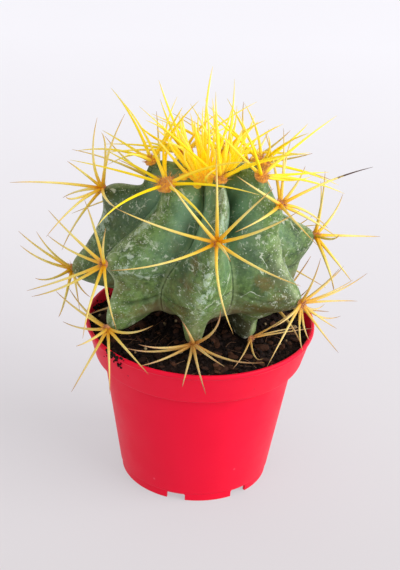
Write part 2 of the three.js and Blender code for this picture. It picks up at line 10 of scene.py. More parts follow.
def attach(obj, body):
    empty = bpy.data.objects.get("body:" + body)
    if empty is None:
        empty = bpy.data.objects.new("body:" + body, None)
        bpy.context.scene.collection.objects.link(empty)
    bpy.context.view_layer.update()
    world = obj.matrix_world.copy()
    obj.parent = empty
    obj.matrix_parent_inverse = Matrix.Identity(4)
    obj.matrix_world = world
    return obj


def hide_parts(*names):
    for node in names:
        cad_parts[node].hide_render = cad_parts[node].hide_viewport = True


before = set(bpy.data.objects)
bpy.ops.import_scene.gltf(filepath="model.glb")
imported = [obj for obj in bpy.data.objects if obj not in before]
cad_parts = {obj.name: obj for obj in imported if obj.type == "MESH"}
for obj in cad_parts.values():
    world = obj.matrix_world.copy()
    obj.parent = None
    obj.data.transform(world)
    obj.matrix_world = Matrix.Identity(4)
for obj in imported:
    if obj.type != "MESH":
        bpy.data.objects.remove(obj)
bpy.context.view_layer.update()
mm = 0.001
goldenTurn = 137.508  # degrees from one spine of a tuft to the next


# Small helpers for modelling

def deselectAll():
    if bpy.context.object and bpy.context.object.mode != "OBJECT":
        bpy.ops.object.mode_set(mode="OBJECT")
    bpy.ops.object.select_all(action="DESELECT")


def makeActive(piece):
    deselectAll()
    piece.select_set(True)
    bpy.context.view_layer.objects.active = piece


def editAll():
    bpy.ops.object.mode_set(mode="EDIT")
    bpy.ops.mesh.select_all(action="SELECT")


def joined(pieces, name):
    deselectAll()
    for piece in pieces:
        piece.select_set(True)
    bpy.context.view_layer.objects.active = pieces[0]
    bpy.ops.object.join()
    whole = bpy.context.object
    whole.name = name
    whole.data.name = name
    return whole


def applyModifier(piece, kind, **settings):
    makeActive(piece)
    modifier = piece.modifiers.new(kind.title(), kind)
    for key, value in settings.items():
        setattr(modifier, key, value)
    bpy.ops.object.modifier_apply(modifier=modifier.name)


def smoothed(piece, angle=30):
    makeActive(piece)
    bpy.ops.object.shade_smooth_by_angle(angle=math.radians(angle))


def places(mesh):
    flat = np.empty(len(mesh.vertices) * 3)
    mesh.vertices.foreach_get("co", flat)
    return flat.reshape(-1, 3)


def setPlaces(mesh, points):
    mesh.vertices.foreach_set("co", np.asarray(points, dtype=float).ravel())
    mesh.update()


def setAttribute(mesh, name, values, kind="FLOAT", domain="POINT"):
    attribute = mesh.attributes.new(name, kind, domain)
    field = "vector" if kind == "FLOAT_VECTOR" else "value"
    attribute.data.foreach_set(field, np.asarray(values, dtype=float).ravel())


def copyOf(piece, name="copy"):
    twin = piece.copy()
    twin.data = piece.data.copy()
    twin.name = name
    bpy.context.collection.objects.link(twin)
    return twin


def handOver(piece, slot, material, *nodes):
    # Gives a finished piece its material and its body, and hides the CAD nodes it stands for
    piece.data.materials.clear()
    piece.data.materials.append(material)
    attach(piece, "root")
    if nodes:
        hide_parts(*nodes)


def extrudeRing(rise, factor):
    bpy.ops.mesh.extrude_region_move(TRANSFORM_OT_translate={"value": (0, 0, rise)})
    bpy.ops.transform.resize(value=(factor, factor, 1), center_override=(0, 0, 0))


def turned(profile, sides):
    # A filled disc drawn through [radius, height] points ring by ring; it ends as the last flat face
    deselectAll()
    radius, height = profile[0]
    bpy.ops.mesh.primitive_circle_add(
        vertices=sides, radius=radius * mm, fill_type="NGON", location=(0, 0, height * mm))
    piece = bpy.context.object
    bpy.ops.object.transform_apply(location=True)
    editAll()
    for nextRadius, nextHeight in profile[1:]:
        extrudeRing((nextHeight - height) * mm, nextRadius / radius)
        radius, height = nextRadius, nextHeight
    bpy.ops.mesh.select_all(action="SELECT")
    bpy.ops.mesh.normals_make_consistent(inside=False)
    bpy.ops.object.mode_set(mode="OBJECT")
    return piece


def withRoundCorners(points, steps=4):
    # Each point is its radius, its height and how far its rounding reaches along both sides
    rounded = []
    for i, (r, z, reach) in enumerate(points):
        if reach == 0 or i in (0, len(points) - 1):
            rounded.append((r, z))
            continue
        corner = Vector((r, z))
        before = (Vector(points[i - 1][:2]) - corner).normalized() * reach + corner
        after = (Vector(points[i + 1][:2]) - corner).normalized() * reach + corner
        for step in range(steps + 1):
            t = step / steps
            place = before * (1 - t) ** 2 + corner * 2 * t * (1 - t) + after * t ** 2
            rounded.append((place.x, place.y))
    return rounded


# Rules shared with the part's source: random numbers, curves, the ribbed skin and the soil's height

def seededRandom(start):
    state = start

    def draw():
        nonlocal state
        state = (state * 1664525 + 1013904223) % 4294967296
        return state / 4294967296
    return draw


def jitter(draw, width):
    return (draw() - 0.5) * width


def throughPoints(points):
    # A curve through sorted points that never overshoots them
    points = sorted([p[0], p[1]] for p in points)
    x = [p[0] for p in points]
    y = [p[1] for p in points]
    last = len(x) - 1
    step = [x[i + 1] - x[i] for i in range(last)]
    rise = [(y[i + 1] - y[i]) / step[i] for i in range(last)]
    slope = [0.0] * (last + 1)
    for i in range(1, last):
        if rise[i - 1] * rise[i] > 0:
            a = 2 * step[i] + step[i - 1]
            b = step[i] + 2 * step[i - 1]
            slope[i] = (a + b) / (a / rise[i - 1] + b / rise[i])

    def curve(value):
        at = min(max(value, x[0]), x[last])
        i = 0
        while i < last - 1 and at >= x[i + 1]:
            i += 1
        h = step[i]
        t = (at - x[i]) / h
        return ((2 * t ** 3 - 3 * t ** 2 + 1) * y[i] + (t ** 3 - 2 * t ** 2 + t) * h * slope[i]
                + (3 * t ** 2 - 2 * t ** 3) * y[i + 1] + (t ** 3 - t ** 2) * h * slope[i + 1])
    return curve


def onCircle(turn, away):
    # A place around the pot's axis: a turn of 0 is the front, and turns go round to the right
    return math.sin(turn) * away, -math.cos(turn) * away


def smoothstep(value, low, high):
    t = min(max((value - low) / (high - low), 0), 1)
    return t * t * (3 - 2 * t)


# Body: millimetres, and degrees of azimuth (0 front, 90 right) and latitude from the body's centre
body = {
    "centreHeight": 97,
    "crownRadius": 31,
    "undersideRadius": 19,
    "crestRounding": 0.16,
    "areoleRounding": 0.12,
    "flankPower": 1.15,
    "footWidth": 0.36,
    "footSquareness": 7,
    "furrow": [
        [90, 30.8], [75, 30.8], [62, 30], [50, 28.2], [38, 27.4], [26, 27.2], [12, 27.6], [0, 28.4],
        [-15, 29.2], [-28, 29.4], [-38, 28.2], [-48, 23.4], [-60, 19], [-90, 17],
    ],
    "columnsPerRib": 32,
    "rows": 260,
    "lumps": 0.45,
    "crestWaver": 0.5,
}

# Ribs from the front around to the right. An areole is [latitude, radius, azimuth] and, where its spines
# have places of their own, a [clock, spread, reach, swing] for each: the angle around the areole from the
# top of the rib, the angle to its outward line, the share of the usual length, and how far its middle bows
# sideways.
ribs = [
    {
        "name": "front",
        "areoles": [
            [67, 39.5, 19, [
                [76, 93, 0.98, -1.2], [20, 64, 0.97, 1], [-31, 16, 0.91, -1], [118, 54, 0.94, -3],
                [-52, 62, 0.98, -1], [-1, 90, 0.98, 1.2],
            ]],
            [30, 44, 7, [
                [-4, 54, 0.94, 0.1], [-46, 48, 0.96, -0.8], [-72, 81, 1.03, -1.5], [-105, 83, 1.04, -2.5],
                [49, 37, 0.94, -0.3], [74, 49, 0.94, 1.8], [124, 61, 0.96, 1.5], [175, 65, 0.98, 2.3],
                [177, 19, 0.9, -0.3],
            ]],
            [-49, 36.8, -5, [
                [-74, 64, 1.02, -2.4], [-58, 54, 0.97, -1.6], [-80, 44, 0.96, -1.1], [-7, 10, 1.07, 0],
                [73, 16, 1.1, -2.4], [-7, 59, 1, 0.7], [15, 81, 1.01, 3], [86, 72, 1.04, 2.6],
                [54, 38, 1, -0.8],
            ]],
        ],
        "hollows": [[50, 42], [10, 38.8], [-12, 36.2], [-32, 34.6]],
        "share": [[-90, 1], [-20, 0.85], [10, 0.6], [30, 0.4], [60, 0.4], [90, 0.6]],
    },
    {
        "name": "front_right",
        "areoles": [
            [57, 45.9, 52, [
                [87, 65, 0.97, -0.4], [119, 97, 0.98, -1.4], [102, 99, 0.98, 0.9], [102, 104, 0.78, 2.7],
                [-58, 40, 0.93, -3], [-20, 76, 0.8, -1.5],
            ]],
            [41.3, 43.2, 57, [
                [44, 101, 0.95, -0.1], [52, 94, 0.98, -0.2], [61, 98, 0.99, -1.7], [77, 100, 0.87, 0.6],
                [101, 65, 1.03, -1.1], [128, 103, 0.89, -0.2], [127, 100, 0.7, -2], [-130, 54, 0.93, 3.7],
                [-90, 78, 1.01, -0.9], [-64, 65, 0.99, -1.6],
            ]],
            [-10, 45.2, 56, [
                [86, 92, 0.99, 0], [89, 95, 0.99, -0.3], [84, 73, 1.01, 1.3], [94, 84, 1, 0.3],
                [107, 77, 1, -0.8], [117, 100, 0.99, 2], [121, 86, 0.99, 2.6], [130, 85, 0.99, 0.5],
                [146, 75, 1, 0.8], [153, 92, 0.72, 2.1], [174, 86, 0.65, 2.6], [-111, 80, 0.99, 2.1],
                [-79, 77, 1, -0.3], [-22, 67, 0.99, -0.5],
            ]],
            [-50, 38.2, 52, [
                [104, 70, 0.95, -1.5], [128, 62, 0.8, 1], [-60, 50, 1, -3], [-88, 66, 0.95, 0],
                [37, 67, 1.02, 2], [83, 60, 0.94, -1],
            ]],
        ],
        "hollows": [[50, 42.5], [26, 36.3], [14, 35.8], [7, 36.6], [-3, 41.3], [-24, 37.6], [-38, 34]],
        "share": [[-90, 1], [34, 1], [58, 0.45], [90, 0.45]],
    },
    {
        "name": "right",
        "areoles": [
            [58, 40, 108, [
                [91, 76, 1, 1.2], [80, 78, 1, -1.6], [2, 76, 0.8, 1], [44, 78, 0.75, -1.5],
                [134, 78, 0.8, 1.5], [178, 80, 0.85, -1], [-108, 74, 1, 1], [-62, 68, 0.9, -1.5],
                [150, 34, 0.6, 1],
            ]],
            [4.5, 43.8, 103, [
                [138, 37, 1.04, 0.3], [-64, 85, 0.99, -1.9], [-23, 81, 1.01, 0.9], [92, 56, 1, 1.2],
                [160, 67, 1.02, 3.5], [165, 80, 0.96, 0.9], [81, 70, 1, 0.9], [-100, 94, 0.98, -2.4],
            ]],
            [-42, 38, 100],
        ],
        "hollows": [[45, 35], [25, 33.2], [16, 36.8], [-4, 41], [-12, 38.9], [-21, 39.2], [-32, 36]],
    },
    {
        "name": "back_right",
        "areoles": [
            [61, 37, 158, [
                [45, 76, 0.85, 1], [0, 72, 0.85, -1], [-45, 72, 0.9, 1.5], [-100, 78, 0.75, -2],
                [-135, 78, 0.8, 1], [178, 80, 0.85, -1], [136, 78, 0.85, -1.5], [95, 76, 0.85, 1.5],
                [160, 30, 0.6, 1],
            ]],
            [30, 43, 155, [
                [2, 76, 0.8, 1.5], [44, 74, 0.85, -1], [72, 78, 0.95, 1.5], [112, 76, 0.9, -1],
                [178, 74, 1, 1], [-112, 76, 0.9, 1.5], [-72, 78, 0.75, -2], [-44, 76, 0.75, -1],
                [165, 26, 0.7, 1],
            ]],
            [-22, 46, 153],
        ],
        "hollows": [[47, 34.5], [10, 37.5], [-40, 34]],
    },
    {
        "name": "back_left",
        "areoles": [
            [59, 37.5, 208, [
                [47, 72, 1, 3.6], [39, 75, 1, -1.4], [-2, 72, 0.85, 1], [-46, 72, 0.85, 1.5],
                [92, 78, 0.8, -2], [140, 74, 0.85, 1], [178, 76, 0.9, -1.5], [-106, 76, 0.9, 1],
                [172, 24, 0.6, -1],
            ]],
            [12, 44, 206],
            [-40, 40, 208],
        ],
        "hollows": [[42, 34], [-10, 39], [-27, 36]],
    },
    {
        "name": "left",
        "areoles": [
            [58, 40, 260, [
                [-152, 74, 1.01, 2.4], [-135, 94, 1.03, 4.5], [-129, 75, 1, -0.4], [-113, 54, 1.03, 1.5],
                [78, 67, 1.07, 0], [42, 56, 1, -3], [0, 80, 0.94, -2],
            ]],
            [26, 44.8, 258, [
                [105, 42, 1.03, -0.6], [23, 67, 1.03, 3.2], [16, 76, 1.03, 2.1], [34, 71, 1, -4.3],
                [60, 65, 1.01, -0.3], [-139, 74, 1, 0.4], [77, 76, 0.99, 3.5], [100, 81, 1.1, -3],
                [-162, 92, 1.15, -1], [65, 103, 1.05, 1],
            ]],
            [-18, 55.2, 257, [
                [36, 67, 1.01, 0.4], [48, 71, 1.01, 1.3], [38, 82, 1, 0.8], [71, 84, 1, 2.1],
                [101, 97, 0.97, 3.6], [-150, 80, 0.98, 3.3], [-138, 86, 1.01, -1],
            ]],
            [-47, 38, 257],
        ],
        "hollows": [[44, 34.9], [14, 41.5], [3, 43.5], [-6, 47], [-34, 40]],
    },
    {
        "name": "front_left",
        "areoles": [
            [60.4, 35.2, 303, [
                [-95, 87, 0.99, -0.3], [-119, 75, 1.01, -0.2], [-75, 63, 1.03, 1.9], [53, 78, 1, -2.1],
                [63, 91, 1.02, -1.1], [96, 88, 1.01, -1], [155, 67, 1.01, 3.3], [-45, 77, 1, -2.7],
                [-35, 83, 1, -5],
            ]],
            [5, 43.3, 303, [
                [-77, 77, 1, 0.1], [-95, 81, 0.99, -0.9], [-68, 100, 0.98, 2.2], [41, 62, 0.99, 0.8],
                [-132, 64, 1.02, -0.8], [-136, 67, 1.01, -2], [128, 59, 0.99, 0.3], [109, 73, 1, 0.2],
            ]],
            [-28, 48, 306, [
                [-80, 81, 0.98, -0.3], [-85, 93, 1, -1.2], [-108, 81, 1, -1.1], [53, 44, 1.01, 0.6],
                [-170, 51, 0.97, -0.6], [129, 60, 0.86, -3.4], [97, 86, 1, -1.9], [64, 99, 1.01, 1.9],
            ]],
        ],
        "hollows": [[44, 29.3], [26, 33], [-6, 39.4]],
        "share": [[-90, 0.6], [-24, 0.6], [0, 0.74], [14, 0.86], [34, 1], [90, 1]],
    },
]

furrowRadius = throughPoints(body["furrow"])
ribCurves = []
for rib in ribs:
    lowest = rib["areoles"][-1]
    ribCurves.append({
        "radius": throughPoints([
            [90, body["crownRadius"]], *rib["areoles"], *rib["hollows"], [lowest[0] - 14, 27.5],
            [-90, body["undersideRadius"]]]),
        "azimuth": throughPoints([
            [90, rib["areoles"][0][2]], *[[a[0], a[2]] for a in rib["areoles"]], [-90, lowest[2]]]),
        "share": throughPoints(rib.get("share", [[-90, 1], [90, 1]])),
    })


def roomAfter(index, lat):
    # The room from one crest to the next at a latitude, and where the furrow lies in it
    a = ribCurves[index]
    b = ribCurves[(index + 1) % len(ribs)]
    start = a["azimuth"](lat)
    gap = (b["azimuth"](lat) - start) % 360
    furrowAt = gap * a["share"](lat) / (a["share"](lat) + b["share"](lat))
    return a, b, start, gap, furrowAt


def skinRadius(crest, way, lat, rounding=body["crestRounding"]):
    # How far the skin is from the centre, for a part of the way from crest (0) to furrow (1)
    c = rounding
    flank = max(1 - (math.hypot(way, c) - c) / (math.hypot(1, c) - c), 0) ** body["flankPower"]
    foot = 1 / (1 + (way / body["footWidth"]) ** body["footSquareness"])
    low = smoothstep(-lat, 22, 38)
    deep = furrowRadius(lat)
    return deep + (crest - deep) * (flank + (foot - flank) * low)


def bodyRadius(azimuth, lat):
    for index in range(len(ribs)):
        a, b, start, gap, furrowAt = roomAfter(index, lat)
        past = (azimuth - start) % 360
        if past < gap:
            if past < furrowAt:
                return skinRadius(a["radius"](lat), past / furrowAt, lat)
            return skinRadius(b["radius"](lat), (gap - past) / (gap - furrowAt), lat)
    return furrowRadius(lat)


def fromCentre(azimuth, lat, radius):
    a = math.radians(azimuth)
    l = math.radians(lat)
    return np.array([*onCircle(a, radius * math.cos(l)), body["centreHeight"] + radius * math.sin(l)])


def outsideBody(point):
    flat = math.hypot(point[0], point[1])
    up = point[2] - body["centreHeight"]
    lat = math.degrees(math.atan2(up, flat))
    azimuth = math.degrees(math.atan2(point[0], -point[1]))
    return math.hypot(flat, up) - bodyRadius(azimuth, lat)


# Soil: millimetres
soil = {
    "wallHeight": 62.6,
    "mound": [[0, 70], [9, 69.2], [16, 66.6], [25, 65], [36, 64], [43, 62.6], [60, 62.6]],
    "lumps": 0.35,
    "sides": 320,
    "rings": 72,
    "grain": 0.55,
    "wallRadius": 42.2,
    "wallGap": 0.1,
}
soilProfile = throughPoints(soil["mound"])


def soilHeight(x, y):
    lumps = math.sin(x * 0.31 + 1) * math.cos(y * 0.27) + 0.6 * math.sin(x * 0.13 - y * 0.45)
    return soilProfile(math.hypot(x, y)) + soil["lumps"] * lumps


# Node helpers: a node with its values or links in one line, and groups with named sockets

def linear(red, green, blue):
    # A colour of 0 to 255 steps, as a picture shows it
    def channel(value):
        value /= 255
        return value / 12.92 if value <= 0.04045 else ((value + 0.055) / 1.055) ** 2.4
    return (channel(red), channel(green), channel(blue), 1)


def addNode(tree, kind, inputs=None, **settings):
    made = tree.nodes.new(kind)
    for key, value in settings.items():
        setattr(made, key, value)
    for key, value in (inputs or {}).items():
        if isinstance(value, bpy.types.NodeSocket):
            tree.links.new(value, made.inputs[key])
        else:
            made.inputs[key].default_value = value
    return made


def calculate(tree, operation, a, b=0.0, c=0.0, clamp=False):
    node = addNode(tree, "ShaderNodeMath", {0: a, 1: b, 2: c}, operation=operation, use_clamp=clamp)
    return node.outputs[0]


def blendColours(tree, share, a, b):
    return addNode(tree, "ShaderNodeMix", {"Factor": share, 6: a, 7: b}, data_type="RGBA").outputs[2]


def between(tree, value, low, high, toLow=0.0, toHigh=1.0):
    node = addNode(tree, "ShaderNodeMapRange", {
        "Value": value, "From Min": low, "From Max": high, "To Min": toLow, "To Max": toHigh})
    return node.outputs["Result"]


def ramp(tree, value, stops):
    node = addNode(tree, "ShaderNodeValToRGB", {"Fac": value})
    elements = node.color_ramp.elements
    while len(elements) < len(stops):
        elements.new(0.5)
    for element, (at, colour) in zip(elements, stops):
        element.position = at
        element.color = colour
    return node.outputs["Color"]


def noiseValue(tree, vector, scale, detail=3.0, roughness=0.55, distortion=0.0):
    node = addNode(tree, "ShaderNodeTexNoise", {
        "Vector": vector, "Scale": scale, "Detail": detail, "Roughness": roughness,
        "Distortion": distortion})
    return node.outputs["Fac"]


def newGroup(name, inputs, outputs):
    group = bpy.data.node_groups.new(name, "ShaderNodeTree")
    for socketName, kind, value in inputs:
        socket = group.interface.new_socket(name=socketName, in_out="INPUT", socket_type=kind)
        if value is not None:
            socket.default_value = value
    for socketName, kind in outputs:
        group.interface.new_socket(name=socketName, in_out="OUTPUT", socket_type=kind)
    source = group.nodes.new("NodeGroupInput")
    target = group.nodes.new("NodeGroupOutput")
    return group, source.outputs, target.inputs


def makeSpecksGroup():
    # Scattered specks: some cells of a cell pattern get a speck, each of its own size
    group, given, result = newGroup("Specks", [
        ("Vector", "NodeSocketVector", None),
        ("Scale", "NodeSocketFloat", 1.0),
        ("Size", "NodeSocketFloat", 0.3),
        ("Cover", "NodeSocketFloat", 0.5),
    ], [("Mask", "NodeSocketFloat")])
    cells = addNode(group, "ShaderNodeTexVoronoi", {"Vector": given["Vector"], "Scale": given["Scale"]})
    lot = addNode(group, "ShaderNodeSeparateColor", {"Color": cells.outputs["Color"]})
    size = calculate(group, "MULTIPLY", given["Size"], lot.outputs["Green"])
    inside = calculate(group, "SUBTRACT", size, cells.outputs["Distance"])
    soft = calculate(group, "MULTIPLY", inside, 12.0, clamp=True)
    chosen = calculate(group, "LESS_THAN", lot.outputs["Red"], given["Cover"])
    group.links.new(calculate(group, "MULTIPLY", soft, chosen), result["Mask"])
    return group


def makeMottleGroup():
    # Two colours that run into each other in soft patches, and the patches themselves
    group, given, result = newGroup("Mottle", [
        ("Vector", "NodeSocketVector", None),
        ("Scale", "NodeSocketFloat", 1.0),
        ("Contrast", "NodeSocketFloat", 0.2),
        ("First", "NodeSocketColor", (0, 0, 0, 1)),
        ("Second", "NodeSocketColor", (1, 1, 1, 1)),
    ], [("Color", "NodeSocketColor"), ("Patches", "NodeSocketFloat")])
    patches = noiseValue(group, given["Vector"], given["Scale"], 5.0, 0.6, 0.3)
    low = calculate(group, "SUBTRACT", 0.5, given["Contrast"])
    high = calculate(group, "ADD", 0.5, given["Contrast"])
    share = between(group, patches, low, high)
    group.links.new(blendColours(group, share, given["First"], given["Second"]), result["Color"])
    group.links.new(share, result["Patches"])
    return group


specksGroup = makeSpecksGroup()
mottleGroup = makeMottleGroup()


def specks(tree, vector, scale, size, cover):
    inputs = {"Vector": vector, "Scale": scale, "Size": size, "Cover": cover}
    return addNode(tree, "ShaderNodeGroup", inputs, node_tree=specksGroup).outputs["Mask"]


def mottle(tree, vector, scale, contrast, first, second):
    inputs = {"Vector": vector, "Scale": scale, "Contrast": contrast, "First": first, "Second": second}
    node = addNode(tree, "ShaderNodeGroup", inputs, node_tree=mottleGroup)
    return node.outputs["Color"], node.outputs["Patches"]


def newMaterial(name, sockets):
    # A material with one Principled shader; the same-all-over values stay on its own sockets
    material = bpy.data.materials.new(name)
    material.use_nodes = True
    tree = material.node_tree
    shader = tree.nodes["Principled BSDF"]
    for key, value in sockets.items():
        shader.inputs[key].default_value = value
    place = addNode(tree, "ShaderNodeTexCoord").outputs["Object"]
    return material, tree, shader, place


def addBump(tree, shader, height, distance, strength=1.0):
    bump = addNode(tree, "ShaderNodeBump", {"Height": height, "Distance": distance, "Strength": strength})
    tree.links.new(bump.outputs["Normal"], shader.inputs["Normal"])


def attributeOf(tree, name, output="Fac"):
    return addNode(tree, "ShaderNodeAttribute", attribute_name=name).outputs[output]


print("helpers ready")


# Camera: where the photograph was taken from, in millimetres, degrees and the picture's own pixels
shot = {
    "pictureHeight": 570,
    "focalLength": 1704,
    "aimedAtHeight": 67,
    "elevation": 29.09,
    "distance": 670,
    "panRight": -0.06,
    "panUp": 1.09,
    "roll": 2.67,
    "sensor": 36,
}


def makeCamera():
    e = math.radians(shot["elevation"])
    back = Vector((0, -math.cos(e), math.sin(e)))
    risen = Vector((0, math.sin(e), math.cos(e)))
    forward = (-back + Vector((1, 0, 0)) * math.tan(math.radians(shot["panRight"]))
               + risen * math.tan(math.radians(shot["panUp"]))).normalized()
    level = forward.cross(Vector((0, 0, 1))).normalized()
    upright = level.cross(forward)
    roll = math.radians(shot["roll"])
    right = level * math.cos(roll) + upright * math.sin(roll)
    up = upright * math.cos(roll) - level * math.sin(roll)
    camera = bpy.data.objects.new("camera", bpy.data.cameras.new("camera"))
    camera.data.sensor_width = shot["sensor"]
    camera.data.lens = shot["focalLength"] / shot["pictureHeight"] * shot["sensor"]
    turn = Matrix((right, up, -forward)).transposed().to_4x4()
    spot = back * shot["distance"] * mm + Vector((0, 0, shot["aimedAtHeight"] * mm))
    camera.matrix_world = Matrix.Translation(spot) @ turn
    bpy.context.collection.objects.link(camera)
    bpy.context.scene.camera = camera


makeCamera()


# Studio: sizes in metres
studio = {
    "floorRadius": 1.7,
    "backdropHeight": 2.2,
    "backdropFlare": 0.9,
    "backdropRings": 12,
    "nearColour": linear(145, 142, 144),
    "farColour": linear(164, 163, 167),
    "nearEdge": -0.1,
    "farEdge": 0.5,
    "skyStrength": 0.62,
    "skyColour": (1.0, 0.99, 1.0, 1),
    "lightsAimedAt": (0, 0, 0.08),
    "key": {"at": (1.8, -0.7, 0.95), "size": 2.2, "power": 56},
    "fill": {"at": (-1.0, -1.6, 0.9), "size": 1.5, "power": 4},
    "paperGlow": 1.6,
}


def makePaper():
    paper, tree, shader, place = newMaterial("studioPaper", {
        "Roughness": 0.9, "Specular IOR Level": 0.1, "Emission Strength": studio["paperGlow"]})
    # Painted shade: the floor darker towards the front and lighter far back
    depth = addNode(tree, "ShaderNodeSeparateXYZ", {"Vector": place}).outputs["Y"]
    far = between(tree, depth, studio["nearEdge"], studio["farEdge"])
    shade = blendColours(tree, far, studio["nearColour"], studio["farColour"])
    softer = blendColours(tree, 0.03, shade, linear(0, 0, 0))
    colour = mottle(tree, place, 3.0, 0.3, shade, softer)[0]
    tree.links.new(colour, shader.inputs["Base Color"])
    tree.links.new(colour, shader.inputs["Emission Color"])  # so the shadow on the floor stays faint
    return paper


def makeStage():
    radius = studio["floorRadius"]
    deselectAll()
    bpy.ops.mesh.primitive_circle_add(vertices=96, radius=radius, fill_type="NGON")
    floor = bpy.context.object
    floor.name = "studioFloor"
    bpy.ops.object.duplicate()
    backdrop = bpy.context.object
    backdrop.name = "studioBackdrop"
    editAll()
    bpy.ops.mesh.delete(type="ONLY_FACE")
    bpy.ops.mesh.select_all(action="SELECT")
    height = 0
    width = radius
    for ring in range(1, studio["backdropRings"] + 1):
        angle = math.pi / 2 * ring / studio["backdropRings"]
        nextHeight = studio["backdropHeight"] * (1 - math.cos(angle))
        nextWidth = radius + studio["backdropFlare"] * math.sin(angle)
        extrudeRing(nextHeight - height, nextWidth / width)
        height, width = nextHeight, nextWidth
    bpy.ops.object.mode_set(mode="OBJECT")
    bpy.ops.object.shade_smooth()
    paper = makePaper()
    for stagePiece in (floor, backdrop):
        stagePiece.data.materials.append(paper)
    backdrop.visible_shadow = False
    backdrop.visible_diffuse = False


def makeLights():
    world = bpy.data.worlds.new("softSky")
    world.use_nodes = True
    sky = world.node_tree.nodes["Background"]
    sky.inputs["Color"].default_value = studio["skyColour"]
    sky.inputs["Strength"].default_value = studio["skyStrength"]
    bpy.context.scene.world = world
    for name in ("key", "fill"):
        lamp = studio[name]
        light = bpy.data.objects.new(name + "Light", bpy.data.lights.new(name + "Light", "AREA"))
        light.data.size = lamp["size"]
        light.data.energy = lamp["power"]
        light.location = lamp["at"]
        light.rotation_mode = "QUATERNION"
        towards = Vector(studio["lightsAimedAt"]) - light.location
        light.rotation_quaternion = towards.to_track_quat("-Z", "Y")
        bpy.context.collection.objects.link(light)
    bpy.context.scene.view_settings.view_transform = "Standard"


makeStage()
makeLights()
print("camera and studio ready")


# Pot: millimetres; its outline is [radius, height, rounding]
pot = {
    "outline": [
        [28, 4, 0], [28, 0, 0.15], [29.2, 0, 0.3], [29.45, 3.4, 0.2], [29.95, 3.75, 0.25],
        [37.7, 51.8, 0.6], [38, 52.7, 0.3], [40.95, 52.75, 0.9], [44.25, 64.8, 0.3], [45, 65.5, 0.35],
        [44.8, 67, 0.6], [43.6, 66.9, 0.4], [39.7, 53.9, 0.8], [36.5, 51.7, 1.2], [28.6, 5.2, 0.6],
        [24, 5.2, 0],
    ],
    "sides": 180,
    "height": 67,
    "rimRadius": 45,
    "rimEdgeHeight": 65.6,
    "bandTop": (44.25, 64.8),
    "bandSlope": 0.29,
    "footRadius": 29.2,
    "notches": 6,  # the foot stays whole at the front left, where a seventh would come
    "notchTurn": -12.7,
    "notchSpacing": 51.4,
    "notchWidth": 7.4,
    "notchHeight": 3,
    "notchDepth": 8,
    "notchRounding": 0.5,
    "holes": 6,
    "holeRadius": 3.2,
    "holeRing": 17,
    "holeDepth": 6,
    "floorHeight": 4.6,
    "edgeRounding": 0.12,
    "colour": linear(243, 2, 54),
    "deepColour": linear(233, 0, 45),
    "bounceColour": linear(128, 84, 90),
    "scuffColour": linear(250, 110, 128),
    "dirtColour": linear(92, 44, 40),
    "roughness": 0.45,
}


def makePotMaterial():
    # Thin moulded plastic: faint flow in the colour, fine scuffs, a little soil dust below the rim
    material, tree, shader, place = newMaterial("redPlastic", {
        "Specular IOR Level": 0.16, "Subsurface Weight": 0.1, "Subsurface Scale": 0.003,
        "Subsurface Radius": (1.0, 0.2, 0.1)})
    times = partial(calculate, tree, "MULTIPLY")
    plus = partial(calculate, tree, "ADD")
    over = partial(blendColours, tree)
    span = partial(between, tree)
    noiseAt = partial(noiseValue, tree, place)
    base = mottle(tree, place, 22.0, 0.3, pot["colour"], pot["deepColour"])[0]
    scuffs = specks(tree, place, 190.0, 0.16, 0.1)
    scuffed = over(times(scuffs, 0.55), base, pot["scuffColour"])
    height = addNode(tree, "ShaderNodeSeparateXYZ", {"Vector": place}).outputs["Z"]
    nearRim = span(height, 0.048, 0.068)
    grime = specks(tree, place, 420.0, 0.22, 0.05)
    film = times(noiseAt(60.0, 6.0, 0.7), nearRim)
    dusty = over(times(film, 0.1), scuffed, pot["dirtColour"])
    dirty = over(times(grime, nearRim), dusty, pot["dirtColour"])
    bounced = addNode(tree, "ShaderNodeLightPath").outputs["Is Diffuse Ray"]  # less red thrown on the ground
    shown = over(times(bounced, 0.8), dirty, pot["bounceColour"])
    tree.links.new(shown, shader.inputs["Base Color"])
    handled = noiseAt(90.0, 4.0)
    gloss = span(handled, 0.3, 0.7, pot["roughness"] - 0.05, pot["roughness"] + 0.08)
    gloss = plus(gloss, times(scuffs, 0.2))
    tree.links.new(gloss, shader.inputs["Roughness"])
    relief = plus(times(noiseAt(1500.0, 2.0), 0.12), noiseAt(35.0, 2.0))
    addBump(tree, shader, relief, 0.00025, 0.5)
    return material


